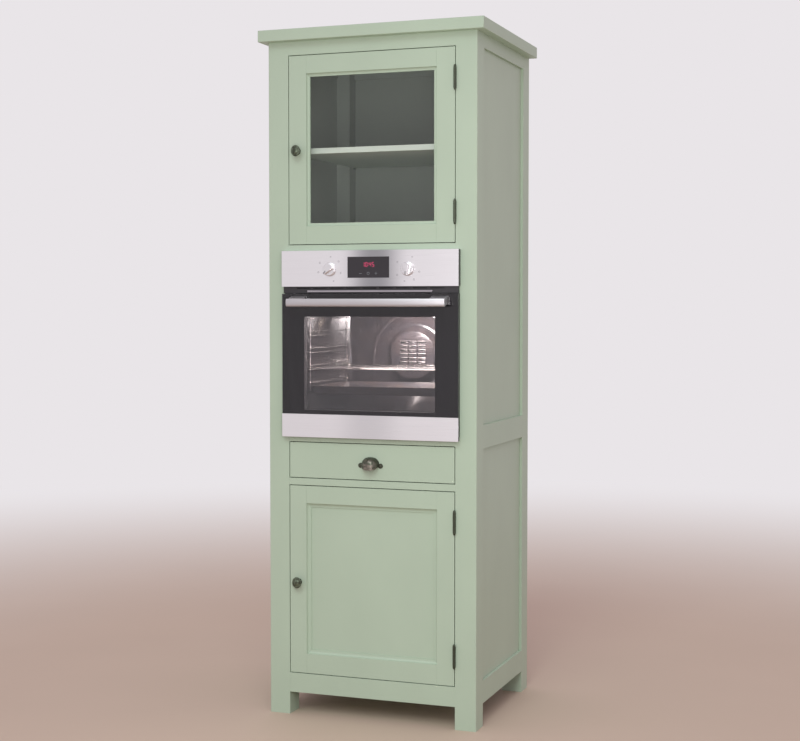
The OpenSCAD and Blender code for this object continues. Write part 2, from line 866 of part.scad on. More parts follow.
module cup_pull() {
    lip_drop = 13;
    cup_r = pull_cup_w / 2;
    inner_r = cup_r - pull_wall;
    top = pull_h - lip_drop;
    flange = 1.5;
    lug_r = 8;
    lug_x = pull_w / 2 - lug_r;
    plate_t = 2;
    screw_r = 3.4;
    color(bronze) facing_front(0, front_y, pull_z - pull_h / 2 + lip_drop) {
        difference() {
            dome(cup_r, top, -lip_drop - 1);
            dome(inner_r, top - pull_wall, -lip_drop - 2);
            translate([-cup_r - 1, -lip_drop - 3, -cup_r - 1])
                cube([2 * cup_r + 2, pull_h + 9, cup_r + 1]);
            translate([-cup_r - 1, 0, 0]) rotate([atan(lip_drop / cup_r), 0, 0])
                translate([0, -pull_h, -1]) cube([2 * cup_r + 2, pull_h, pull_h * 2]);
        }
        linear_extrude(plate_t) difference() {
            union() {
                dome_front(cup_r + flange, top + flange - 0.5, 0);
                translate([-lug_x, -lug_r / 2]) square([2 * lug_x, lug_r]);
                for (x = [-lug_x, lug_x]) {
                    translate([x, 0]) circle(r = lug_r);
                }
            }
            dome_front(inner_r, top - pull_wall, -lip_drop - 2);
        }
        for (x = [-lug_x, lug_x]) {
            translate([x, 0, plate_t]) intersection() {
                translate([0, 0, -3]) sphere(r = 4.5);
                cylinder(h = 3, r = screw_r);
            }
        }
    }
}

// Oven, fixed parts

// Five sheets of the casing: two sides, the top, the floor and the back
module oven_casing() {
    x = casing_w / 2;
    z0 = niche_z0;
    z1 = z0 + casing_h;
    y1 = casing_back;
    gap = joint_line;
    color("#a9abab") {
        both_sides() span([x - sheet_t, front_y, z0], [x, y1, z1]);
        for (z = [z0, z1 - sheet_t]) {
            span([-x + sheet_t + gap, front_y, z], [x - sheet_t - gap, y1, z + sheet_t]);
        }
        span(
            [-x + sheet_t + gap, y1 - sheet_t, z0 + sheet_t + gap],
            [x - sheet_t - gap, y1, z1 - sheet_t - gap]
        );
    }
}

// The flat frame that the oven is screwed to the cabinet by, hidden behind the door
module oven_trim_frame() {
    side = oven_w / 2 - 3 - casing_w / 2 + sheet_t;
    low = niche_z0 - oven_z0 - 1.5;
    color(dark) difference() {
        translate([0, front_y - trim_t, oven_z0 + 1.5])
            face_frame(oven_w - 6, control_z0 - oven_z0 - 2, side, low, vent_h, trim_t);
        screw_places() cylinder(h = 10, r = oven_screw_r + run_fit, center = true);
    }
}

module screw_places() {
    x = (post_x + oven_w / 2) / 2 - 3;
    for (sx = [-x, x]) {
        for (z = [niche_z0 + 40, control_z0 - 50]) {
            facing_front(sx, front_y, z) children();
        }
    }
}

module oven_screws() {
    head_h = 2.2;
    color(steel) screw_places() {
        translate([0, 0, -oven_screw_l]) cylinder(h = oven_screw_l + trim_t, r = oven_screw_r);
        translate([0, 0, trim_t]) intersection() {
            cylinder(h = head_h, r = 2 * oven_screw_r);
            translate([0, 0, -3]) sphere(r = 5.2);
        }
    }
}

// Enamelled liner: a pressed tub with round corners and a wide front flange
module oven_liner() {
    flange_x = casing_w / 2 - sheet_t;
    flange_z0 = niche_z0 + sheet_t;
    flange_z1 = control_z0;
    tub_x = cavity_w / 2 + liner_t;
    color("#3b3a3d") difference() {
        union() {
            span([-flange_x, liner_y, flange_z0], [flange_x, liner_y + liner_t, flange_z1]);
            translate([-tub_x, cavity_back + liner_t, cavity_z0 - liner_t]) rotate([90, 0, 0])
                linear_extrude(cavity_d + liner_t)
                rounded_rect(2 * tub_x, cavity_h + 2 * liner_t, liner_r + liner_t);
        }
        translate([-cavity_w / 2, cavity_back, cavity_z0]) rotate([90, 0, 0])
            linear_extrude(cavity_d + 1) rounded_rect(cavity_w, cavity_h, liner_r);
        translate([0, cavity_back + 5, fan_z]) rotate([90, 0, 0]) cylinder(h = 10, r = fan_shaft_r + 1);
    }
}

module oven_seal() {
    seal_w = 9;
    x = cavity_w / 2 + 2;
    h = cavity_h + 4;
    color("#6d6a68") translate([0, liner_y, 0]) rotate([90, 0, 0]) linear_extrude(seal_t) difference() {
        translate([-x - seal_w, cavity_z0 - 2 - seal_w])
            rounded_rect(2 * (x + seal_w), h + 2 * seal_w, liner_r + seal_w);
        translate([-x, cavity_z0 - 2]) rounded_rect(2 * x, h, liner_r);
    }
}

// Folded steel fascia with holes for the display and the two knob shafts
module control_panel() {
    color(steel) difference() {
        span([-oven_w / 2, oven_y, control_z0], [oven_w / 2, front_y, oven_z1]);
        span(
            [-oven_w / 2 + skin_t, oven_y + skin_t, control_z0 + skin_t],
            [oven_w / 2 - skin_t, front_y + 1, oven_z1 - skin_t]
        );
        span(
            [-display_w / 2, oven_y - 1, display_z - display_h / 2],
            [display_w / 2, oven_y + 4, display_z + display_h / 2]
        );
        for (x = [-oven_knob_x, oven_knob_x]) {
            facing_front(x, oven_y + 4, knob_z) cylinder(h = 8, r = 3 + run_fit);
        }
    }
}

module display_window() {
    behind = 14;
    color(dark) {
        span(
            [-display_w / 2, oven_y - 0.3, display_z - display_h / 2],
            [display_w / 2, oven_y + skin_t, display_z + display_h / 2]
        );
        span(
            [-display_w / 2 - 4, oven_y + skin_t, display_z - display_h / 2 - 4],
            [display_w / 2 + 4, oven_y + skin_t + behind, display_z + display_h / 2 + 4]
        );
    }
}

// Black louvred plate in the air gap between the control panel and the door
module vent_grille() {
    slot_l = 46;
    slots = 9;
    slot_pitch = 56;
    x = oven_w / 2 - 3;
    color(dark) difference() {
        span([-x, oven_y + 9, oven_door_z1 + 2], [x, front_y - trim_t, control_z0]);
        for (i = [0 : slots - 1]) {
            slot_x = (i - (slots - 1) / 2) * slot_pitch - slot_l / 2;
            span([slot_x, oven_y + 8, oven_door_z1 + 16], [slot_x + slot_l, front_y, oven_door_z1 + 19]);
        }
    }
}

module vent_strip() {
    x = oven_w / 2 - 87;
    y = oven_y + 5;
    z = oven_door_z1 + 5;
    color(steel) span([-x, y, z], [x, y + 4, z + 6]);
}

// Fan cover: a shallow pan on the back wall, with three columns of slots
module fan_cover() {
    r = fan_cover_d / 2;
    wall = 1.2;
    rows = 7;
    slot = [26, 7, 8];
    pitch = [32, 14];
    color("#5a5a5d") translate([0, cavity_back, fan_z]) rotate([90, 0, 0]) difference() {
        rotate_extrude($fn = 96) polygon([
            [0, fan_cover_t - wall], [r - 22, fan_cover_t - wall], [r - 2, 1.5 + wall], [r - 2, 0],
            [r + 6, 0], [r + 6, wall], [r, wall], [r - 20, fan_cover_t], [0, fan_cover_t]
        ]);
        for (column = [-1 : 1]) {
            for (row = [0 : rows - 1]) {
                translate([column * pitch[0], (row - (rows - 1) / 2) * pitch[1] + 2, fan_cover_t])
                    cube(slot, center = true);
            }
        }
    }
}

// A straight wire between two points that differ along one axis only
module wire(from, to) {
    length = max(abs(to[0] - from[0]), abs(to[1] - from[1]), abs(to[2] - from[2]));
    turn = abs(to[0] - from[0]) > 0.1 ? [0, 90, 0] : abs(to[1] - from[1]) > 0.1 ? [-90, 0, 0] : [0, 0, 0];
    translate(from) rotate(turn) cylinder(h = length, r = wire_r, $fn = 24);
}

// Side ladders: upright wires with pairs of rungs that the shelf and the tray slide between
module side_ladders() {
    low = level_0 - 14;
    high = level_0 + (ladder_levels - 1) * level_pitch + pair_gap + 6;
    color(steel) both_sides() {
        for (y = [ladder_y0, ladder_y1]) {
            wire([ladder_x, y, low], [ladder_x, y, high]);
            for (z = [low + 4, high - 4]) {
                wire([ladder_x, y, z], [cavity_w / 2, y, z]);
            }
        }
        for (i = [0 : ladder_levels - 1]) {
            for (z = [0, pair_gap]) {
                rung_z = level_0 + i * level_pitch + z;
                wire([rung_x, ladder_y0 - 14, rung_z], [rung_x, ladder_y1 + 8, rung_z]);
            }
        }
    }
}

module wire_shelf() {
    bend_r = 10;
    x = rack_w / 2 - wire_r;
    y0 = ladder_y0 - 12;
    y1 = ladder_y1;
    z = wire_shelf_z;
    rod_r = wire_r * 0.7;
    rod_step = 2 * x / (shelf_wires + 1);
    color(steel) {
        for (y = [y0, y1]) {
            wire([-x + bend_r, y, z], [x - bend_r, y, z]);
        }
        for (sx = [-x, x]) {
            wire([sx, y0 + bend_r, z], [sx, y1 - bend_r, z]);
        }
        for (corner = [[-1, y0, 180], [1, y0, 270], [1, y1, 0], [-1, y1, 90]]) {
            bend_y = corner[1] == y0 ? y0 + bend_r : y1 - bend_r;
            translate([corner[0] * (x - bend_r), bend_y, z]) rotate(corner[2])
                rotate_extrude(angle = 90) translate([bend_r, 0]) circle(r = wire_r, $fn = 24);
        }
        for (i = [1 : shelf_wires]) {
            translate([-x + i * rod_step, y0, z]) rotate([-90, 0, 0])
                cylinder(h = y1 - y0, r = rod_r, $fn = 24);
        }
        translate([-x + rod_step, (y0 + y1) / 2, z - rod_r]) rotate([0, 90, 0])
            cylinder(h = 2 * (x - rod_step), r = rod_r * 1.1, $fn = 24);
    }
}

// A block that narrows downwards on all four sides, its top at z = 0
module tapered_block(w, d, h, taper) {
    intersection() {
        translate([0, d, 0]) rotate([90, 0, 0]) linear_extrude(d)
            polygon([[-w / 2, 0], [w / 2, 0], [w / 2 - taper, -h], [-w / 2 + taper, -h]]);
        translate([-w / 2, 0, 0]) rotate([90, 0, 90]) linear_extrude(w)
            polygon([[0, 0], [d, 0], [d - taper, -h], [taper, -h]]);
    }
}

module baking_tray() {
    pan_w = 2 * (rung_x - wire_r - 2);
    pan_d = ladder_y1 - ladder_y0;
    wall = 1.2;
    color("#55565a") translate([0, ladder_y0 - 6, tray_rim_z + rim_t]) difference() {
        union() {
            translate([-rack_w / 2, -10, -rim_t]) linear_extrude(rim_t) rounded_rect(rack_w, pan_d + 16, 6);
            tapered_block(pan_w, pan_d, tray_h, 10);
        }
        translate([0, wall, 0.01]) tapered_block(pan_w - 2 * wall, pan_d - 2 * wall, tray_h - wall, 9.5);
    }
}

// Grill element: a rod that runs forward, across and back in four lanes under the cavity's roof
module grill_element() {
    rod_r = 3.2;
    lane = cavity_w * 0.175;
    z = cavity_z1 - 22;
    y0 = ladder_y0 + 20;
    color("#77716a") {
        for (i = [-3, -1, 1, 3]) {
            outer = abs(i) == 3;
            y1 = outer ? cavity_back : cavity_back - 90;
            translate([i * lane / 2, y0 + lane / 2, z]) rotate([-90, 0, 0])
                cylinder(h = y1 - y0 - lane / 2, r = rod_r, $fn = 24);
        }
        for (x = [-lane, lane]) {
            translate([x, y0 + lane / 2, z]) rotate([0, 0, 180])
                rotate_extrude(angle = 180, $fn = 48) translate([lane / 2, 0]) circle(r = rod_r, $fn = 24);
        }
        translate([0, cavity_back - 90, z]) rotate_extrude(angle = 180, $fn = 48)
            translate([lane / 2, 0]) circle(r = rod_r, $fn = 24);
    }
}

module oven_lamp() {
    color("#f2efe2") translate([cavity_w / 2 - 62, cavity_back, cavity_z1 - 60]) rotate([90, 0, 0]) {
        cylinder(h = 5, r = 27);
        intersection() {
            cylinder(h = 30, r = 24);
            translate([0, 0, -6]) sphere(r = 30);
        }
    }
}

module fan_motor() {
    color("#8d8f90") translate([0, cavity_back + liner_t, fan_z]) rotate([-90, 0, 0]) difference() {
        union() {
            cylinder(h = 2, r = 45);
            cylinder(h = 52, r = 34);
            for (a = [45 : 90 : 315]) {
                rotate(a) translate([30, -5, 0]) cube([14, 10, 12]);
            }
        }
        translate([0, 0, -1]) cylinder(h = fan_shaft_l - fan_gap + 2, r = fan_shaft_r + run_fit);
    }
}

// Outline of a hinge ear in the plane of its plate, with depth across and height up
module ear_outline() {
    foot_z = niche_z0 + sheet_t + 1;
    foot_h = 38;
    translate([pivot_y, pivot_z]) circle(r = ear_r);
    polygon([
        [pivot_y, pivot_z], [pivot_y, pivot_z + ear_r], [liner_y, foot_z + foot_h],
        [liner_y, foot_z], [front_y + 2, foot_z]
    ]);
}

// Ears on the casing that carry the pins of the oven door
module door_hinge_receivers() {
    color("#9a9c9c") both_sides() translate([receiver_x, 0, 0]) rotate([90, 0, 90])
        linear_extrude(receiver_t) difference() {
            ear_outline();
            translate([pivot_y, pivot_z]) circle(r = pivot_r + run_fit);
        }
}

// Oven, moving parts

// Oven knob: a flared base, a drum and a grip that widens to one end, on a shaft
module oven_knob() {
    r = oven_knob_d / 2;
    narrow = grip_narrow / 2;
    wide = grip_wide / 2;
    color(steel) {
        translate([0, 0, -16]) cylinder(h = 17, r = 3);
        translate([0, 0, 0.4]) rotate_extrude($fn = 64) polygon([
            [0, 0], [r, 0], [r, 2], [r - 1.5, 6], [r - 2, 8.5], [r - 3, 9.5], [0, 9.5]
        ]);
        intersection() {
            cylinder(h = 23, r = r - 2, $fn = 64);
            linear_extrude(24) polygon([[-r, -narrow], [r, -wide], [r, wide], [-r, narrow]]);
        }
    }
}

module function_knob() {
    facing_front(-oven_knob_x, oven_y, knob_z) rotate(48) oven_knob();
}

module temperature_knob() {
    facing_front(oven_knob_x, oven_y, knob_z) rotate(90) oven_knob();
}

module fan_wheel() {
    wheel_r = fan_cover_d / 2 - 34;
    hub_r = fan_shaft_r + 7;
    color("#b0b1b2") translate([0, cavity_back - fan_gap, fan_z]) rotate([90, 0, 0]) {
        translate([0, 0, 2 - fan_shaft_l]) cylinder(h = fan_shaft_l, r = fan_shaft_r);
        cylinder(h = fan_blade_t, r = wheel_r);
        cylinder(h = fan_hub_h, r = hub_r);
        for (i = [0 : fan_blades - 1]) {
            rotate(i * 360 / fan_blades) translate([hub_r - 2, -fan_blade_t / 2, fan_blade_t / 2]) rotate(8)
                cube([wheel_r - hub_r - 1, fan_blade_t, fan_hub_h - fan_blade_t]);
        }
    }
}

module oven_outer_glass() {
    x = oven_w / 2 - 1;
    color("#3a383b", 0.75)
        span([-x, oven_y, strip_z1 + 0.3], [x, oven_y + oven_glass_t, oven_door_z1]);
}

module oven_inner_glass() {
    x = carrier_w / 2 - 4;
    color("#3a383b", 0.4)
        span([-x, inner_glass_y, inner_glass_z0], [x, inner_glass_y + oven_glass_t, inner_glass_z1]);
}

// Black frame between the glasses, with thin side covers out to the door's edges
module oven_door_carrier() {
    y0 = oven_y + oven_glass_t;
    low_z = oven_z0 + 12;
    high_z = oven_door_z1 - 1.5;
    cover_z = pivot_z + 6;
    color(dark) {
        translate([0, y0, low_z]) face_frame(
            carrier_w, high_z - low_z, (carrier_w - window_w) / 2, window_z0 - low_z,
            high_z - window_z1, inner_glass_y - y0
        );
        both_sides() {
            span([oven_w / 2 - 2.5, y0, cover_z], [oven_w / 2 - 1, door_back_y, oven_door_z1]);
            span([carrier_w / 2 - 1, y0, cover_z], [oven_w / 2 - 2, y0 + 2, high_z]);
        }
    }
}

// Folded steel strip at the foot of the door, open behind
module oven_door_strip() {
    lip = 8;
    x = oven_w / 2;
    color(steel) {
        span([-x, oven_y, oven_z0], [x, oven_y + skin_t, strip_z1]);
        span([-x, oven_y, oven_z0], [x, oven_y + lip, oven_z0 + skin_t]);
        span([-x + 3, oven_y, strip_z1 - skin_t], [x - 3, oven_y + oven_glass_t, strip_z1]);
    }
}

module handle_section() {
    rounded_rect(handle_t, handle_h, 5);
}

module handle_bar() {
    color(steel) translate([-handle_l / 2, oven_y - handle_gap - handle_t, handle_z - handle_h / 2])
        rotate([90, 0, 90]) linear_extrude(handle_l) handle_section();
}

// Brackets that rise from the bar's back to the door glass
module handle_brackets() {
    rise = 9;
    bar_back = oven_y - handle_gap;
    color(steel) both_sides() translate([handle_l / 2 - bracket_w, 0, handle_z]) rotate([90, 0, 90])
        linear_extrude(bracket_w - 2) polygon([
            [bar_back, -handle_h / 2 + 4], [oven_y, -handle_h / 2 + 6],
            [oven_y, handle_h / 2 + rise], [bar_back + 6, handle_h / 2 + 2], [bar_back, handle_h / 2 - 3]
        ]);
}

// Hinge arms on the sides of the door's carrier, each with the pin that turns in its receiver
module door_hinge_arms() {
    foot_r = ear_r - 0.5;
    color("#9a9c9c") both_sides() {
        translate([arm_x, 0, 0]) rotate([90, 0, 90]) linear_extrude(arm_t) {
            translate([pivot_y, pivot_z]) circle(r = foot_r);
            translate([pivot_y - 3.9, pivot_z]) square([foot_r + 3.9, arm_h]);
        }
        translate([arm_x, pivot_y, pivot_z]) rotate([0, 90, 0])
            cylinder(h = arm_t + arm_play + receiver_t + 1, r = pivot_r);
    }
}

crown_top();
front_posts();
rear_posts();
front_rails();
side_rails();
rear_rails();
side_panels();
back_panels();
glazed_floor();
oven_floor();
drawer_dust_board();
cabinet_floor();
glazed_shelf();
cupboard_shelf();
shelf_pins();
drawer_runners();
door_catches();
hinge_frame_leaves();
hinge_pins();
oven_casing();
oven_trim_frame();
oven_liner();
oven_seal();
control_panel();
display_window();
vent_grille();
vent_strip();
fan_cover();
side_ladders();
wire_shelf();
baking_tray();
grill_element();
oven_lamp();
fan_motor();
oven_screws();
door_hinge_receivers();
function_knob();
temperature_knob();
fan_wheel();
oven_outer_glass();
oven_inner_glass();
oven_door_carrier();
oven_door_strip();
handle_bar();
handle_brackets();
door_hinge_arms();
glazed_door_frame();
glazed_door_beads();
glazed_door_pane();
glazed_door_knob();
glazed_door_fittings();
panel_door_frame();
panel_door_moulding();
panel_door_panel();
panel_door_knob();
panel_door_fittings();
drawer_front();
drawer_box();
drawer_bottom();
cup_pull();
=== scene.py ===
import math

import bmesh
import bpy
from bpy.props import FloatProperty, FloatVectorProperty, PointerProperty, StringProperty
from mathutils import Matrix, Vector


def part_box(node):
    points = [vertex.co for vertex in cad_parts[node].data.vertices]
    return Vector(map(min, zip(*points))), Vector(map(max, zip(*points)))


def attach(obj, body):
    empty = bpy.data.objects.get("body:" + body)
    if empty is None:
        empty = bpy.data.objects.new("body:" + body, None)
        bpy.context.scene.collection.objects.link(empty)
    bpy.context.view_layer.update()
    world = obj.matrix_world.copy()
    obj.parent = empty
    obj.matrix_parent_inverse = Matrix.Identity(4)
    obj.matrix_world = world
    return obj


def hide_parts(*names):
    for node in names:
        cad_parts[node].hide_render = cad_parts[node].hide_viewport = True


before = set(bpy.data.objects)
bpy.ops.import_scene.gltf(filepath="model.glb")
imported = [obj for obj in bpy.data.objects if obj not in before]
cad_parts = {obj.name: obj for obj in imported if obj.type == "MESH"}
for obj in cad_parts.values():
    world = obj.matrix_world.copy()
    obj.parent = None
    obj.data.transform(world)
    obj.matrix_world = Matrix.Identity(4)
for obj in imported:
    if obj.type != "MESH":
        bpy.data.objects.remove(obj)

bl_info = {
    "name": "Tall oven cabinet",
    "version": (1, 0, 0),
    "blender": (4, 5, 0),
    "location": "3D View > Sidebar > Cabinet",
    "description": "Finishes and small fittings for a tall painted cabinet with a built-in oven",
    "category": "Object",
}

MM = 0.001
# Turns a shape that points up so that it points out of the cabinet's front
FACING_FRONT = Matrix.Rotation(math.radians(90), 4, "X")
# Degrees between two faces from which their edge stays sharp
CREASE = 35


def srgb(code):
    """Linear colour with alpha from an sRGB hex code."""
    parts = [int(code[i:i + 2], 16) / 255 for i in (1, 3, 5)]
    return [c / 12.92 if c <= 0.04045 else ((c + 0.055) / 1.055) ** 2.4 for c in parts] + [1.0]


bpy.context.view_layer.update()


# Settings that a user would change


def colour_setting(name, text, code):
    """A colour property with a default given in sRGB."""
    return FloatVectorProperty(
        name=name, description=text, subtype="COLOR", size=4, min=0, max=1, default=srgb(code)
    )


class CabinetFinish(bpy.types.PropertyGroup):
    """Colours and small sizes of the cabinet's finishes."""

    paint: colour_setting("Paint", "Colour of the satin paint", "#adc1aa")
    # Painted shade: a greyer, darker paint colour for the dim space behind the doors
    inside: colour_setting("Inside", "Colour of the paint behind the doors", "#abafa9")
    # The shelves' paler paint also stands in for the light on their front edges behind the glass: a
    # painted highlight
    shelves: colour_setting("Shelves", "Colour of the paint on the shelves", "#dfe7dc")
    bronze: colour_setting("Bronze", "Ground colour of hinges, knobs and pull", "#454a3d")
    steel: colour_setting("Steel", "Colour of the oven's brushed front", "#efecee")
    clock: StringProperty(name="Clock", description="Digits on the oven's display", default="1045")
    wood_edge: FloatProperty(
        name="Wood edge", description="Easing of the wooden edges", unit="LENGTH", default=0.4 * MM
    )
    metal_edge: FloatProperty(
        name="Metal edge", description="Easing of the metal edges", unit="LENGTH", default=0.3 * MM
    )


class CabinetStage(bpy.types.PropertyGroup):
    """Colours and strengths of the studio round the cabinet."""

    floor: colour_setting("Floor", "Colour of the floor", "#c3b39f")
    backdrop: colour_setting("Backdrop", "Colour behind the cabinet", "#e9e5e8")
    soft_light: colour_setting("Soft light", "Colour of the light from all sides", "#dac8d5")
    sun: FloatProperty(name="Sun", description="Strength of the soft sun high in front", default=0.69)
    front_lamp: FloatProperty(
        name="Front lamp", description="Power of the lamp in front", unit="POWER", default=14.0
    )
    upper_lamp: FloatProperty(
        name="Upper lamp", description="Power of the lamp at the upper right", unit="POWER", default=3.2
    )


# Materials


def add(tree, kind, inputs=(), **settings):
    """Adds a node with its settings; an input takes a value, an output, or a node's first output."""
    node = tree.nodes.new("ShaderNode" + kind)
    for key, value in settings.items():
        setattr(node, key, value)
    for key, value in dict(inputs).items():
        if isinstance(key, str):
            key = [s.name if s.enabled else "" for s in node.inputs].index(key)
        if isinstance(value, bpy.types.Node):
            value = next(s for s in value.outputs if s.enabled)
        if isinstance(value, bpy.types.NodeSocket):
            tree.links.new(value, node.inputs[key])
        else:
            node.inputs[key].default_value = value
    return node


def new_material(name):
    """An empty material, with its node tree and the Object coordinates in metres."""
    material = bpy.data.materials.new(name)
    material.use_nodes = True
    tree = material.node_tree
    tree.nodes.clear()
    return material, tree, add(tree, "TexCoord").outputs["Object"]


def per_mm(*sizes):
    """Scale of a pattern whose marks have these sizes in mm along X, Y and Z."""
    return [1 / (size * MM) for size in sizes]


def tinted(colour, factor):
    """A colour made lighter or darker by a factor."""
    return [min(1.0, c * factor) for c in colour[:3]] + [1.0]


def patterned(name, dark, light, roughness, mark_mm, depth_mm=0.01, **constants):
    """A finish whose tone, gloss and surface follow one pattern, with marks of this size in mm.

    roughness is a pair; constants are further inputs of the shader, with _ for each space.
    """
    material, tree, coords = new_material(name)
    scaled = add(tree, "Mapping", {"Vector": coords, "Scale": per_mm(*mark_mm)})
    marks = add(tree, "TexNoise", {"Vector": scaled, "Scale": 1.0, "Detail": 3.0})
    shader = add(tree, "BsdfPrincipled", {
        "Base Color": add(tree, "Mix", {0: marks, 6: srgb(dark), 7: srgb(light)}, data_type="RGBA"),
        "Roughness": add(tree, "MapRange", {
            "Value": marks, "To Min": roughness[0], "To Max": roughness[1]
        }),
        "Normal": add(tree, "Bump", {"Height": marks, "Distance": depth_mm * MM}),
        **{key.replace("_", " "): value for key, value in constants.items()},
    })
    add(tree, "OutputMaterial", {"Surface": shader})
    return material


# Size in mm of a brush's streaks on members that stand, lie across, or run from front to back
BRUSH_MARKS = {"upright": (1.3, 1.3, 70), "across": (70, 1.3, 1.3), "deep": (1.3, 70, 1.3)}


def satin_alkyd_paint(name, along, stile_mm=None, coat=None):
    """Satin alkyd paint laid on by brush: a soft sheen, faint streaks, and a slow drift of tone.

    The streaks run along each member. Beyond stile_mm from the middle, a door's members stand
    upright. Behind the doors the paint turns greyer and darker, a painted shade for the dim inside,
    unless the piece has a coat of its own.
    """
    finish = bpy.context.scene.cabinet
    material, tree, coords = new_material("satin_alkyd_paint_" + name)
    scaled = add(tree, "Mapping", {"Vector": coords, "Scale": per_mm(*BRUSH_MARKS[along])})
    streaks = add(tree, "TexNoise", {"Vector": scaled, "Scale": 1.0, "Detail": 2.0})
    place = add(tree, "SeparateXYZ", {"Vector": coords})
    off = add(tree, "Math", {0: place.outputs["X"]}, operation="ABSOLUTE")
    if stile_mm:
        stile = add(tree, "Math", {0: off, 1: stile_mm * MM}, operation="GREATER_THAN")
        scaled = add(tree, "Mapping", {"Vector": coords, "Scale": per_mm(*BRUSH_MARKS["upright"])})
        upright = add(tree, "TexNoise", {"Vector": scaled, "Scale": 1.0, "Detail": 2.0})
        streaks = add(tree, "Mix", {0: stile, 2: streaks, 3: upright}, data_type="FLOAT")
    # Tone drifts slowly over a few hands' breadths, as brushed paint dries
    scaled = add(tree, "Mapping", {"Vector": coords, "Scale": per_mm(190, 190, 300)})
    drift = add(tree, "TexNoise", {"Vector": scaled, "Scale": 1.0, "Detail": 3.0})
    paint = coat or finish.paint
    colour = add(tree, "Mix", {
        0: drift, 6: tinted(paint, 0.94), 7: tinted(paint, 1.06)
    }, data_type="RGBA")
    if not coat:
        # A greyer, darker copy of the paint, painted shade for the dim inside
        inner = add(tree, "Mix", {
            0: drift, 6: tinted(finish.inside, 0.9), 7: tinted(finish.inside, 1.08)
        }, data_type="RGBA")
        # Painted shade of the dim inside: behind the frame, in front of the back's outer face, between the
        # outer sides, and from the lowest floor up to the underside of the crown
        low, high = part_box("glazed_floor")
        bottom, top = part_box("cabinet_floor")[0].z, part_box("crown_top")[0].z
        inside = 1.0
        for value, test, limit in (
            (off, "LESS_THAN", high.x + 0.5 * MM),
            (place.outputs["Y"], "GREATER_THAN", low.y),
            (place.outputs["Y"], "LESS_THAN", high.y + 10 * MM),
            (place.outputs["Z"], "GREATER_THAN", bottom + MM),
            (place.outputs["Z"], "LESS_THAN", top + MM),
        ):
            passed = add(tree, "Math", {0: value, 1: limit}, operation=test)
            inside = add(tree, "Math", {0: inside, 1: passed}, operation="MULTIPLY")
        colour = add(tree, "Mix", {0: inside, 6: colour, 7: inner}, data_type="RGBA")
    # Orange peel of the dried film, 2.5 mm across, under the streaks
    peel = add(tree, "TexNoise", {"Vector": coords, "Scale": 1 / (2.5 * MM), "Detail": 1.0})
    height = add(tree, "Math", {0: streaks, 1: 0.6, 2: peel}, operation="MULTIPLY_ADD")
    shader = add(tree, "BsdfPrincipled", {
        "Base Color": colour,
        "Roughness": add(tree, "MapRange", {"Value": streaks, "To Min": 0.40, "To Max": 0.52}),
        "Specular IOR Level": 0.42,
        "Normal": add(tree, "Bump", {"Height": height, "Distance": 0.035 * MM}),
    })
    add(tree, "OutputMaterial", {"Surface": shader})
    return material


def aged_bronze(name, rubbed):
    """Aged bronze: a dark olive patina in patches a few mm wide, rubbed lighter where it stands out."""
    ground = bpy.context.scene.cabinet.bronze
    material, tree, coords = new_material(name)
    patches = add(tree, "TexNoise", {"Vector": coords, "Scale": 1 / (9 * MM), "Detail": 4.0})
    # Hands reach what stands more than 12 mm out of the front
    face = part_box("drawer_front")[0].y
    touched = add(tree, "MapRange", {
        "Value": add(tree, "SeparateXYZ", {"Vector": coords}).outputs["Y"],
        "From Min": face - 12 * MM, "From Max": face - 26 * MM, "To Min": 0.12, "To Max": 0.8
    })
    worn = add(tree, "MapRange", {"Value": patches, "From Min": 0.38, "From Max": 0.62})
    worn = add(tree, "Math", {0: worn, 1: touched}, operation="MULTIPLY")
    pits = add(tree, "TexNoise", {"Vector": coords, "Scale": 1 / (0.8 * MM), "Detail": 2.0})
    shader = add(tree, "BsdfPrincipled", {
        "Base Color": add(tree, "Mix", {0: worn, 6: ground, 7: srgb(rubbed)}, data_type="RGBA"),
        "Metallic": 0.7,
        "Roughness": add(tree, "MapRange", {"Value": patches, "To Min": 0.5, "To Max": 0.26}),
        "Normal": add(tree, "Bump", {"Height": pits, "Distance": 0.04 * MM}),
    })
    add(tree, "OutputMaterial", {"Surface": shader})
    return material


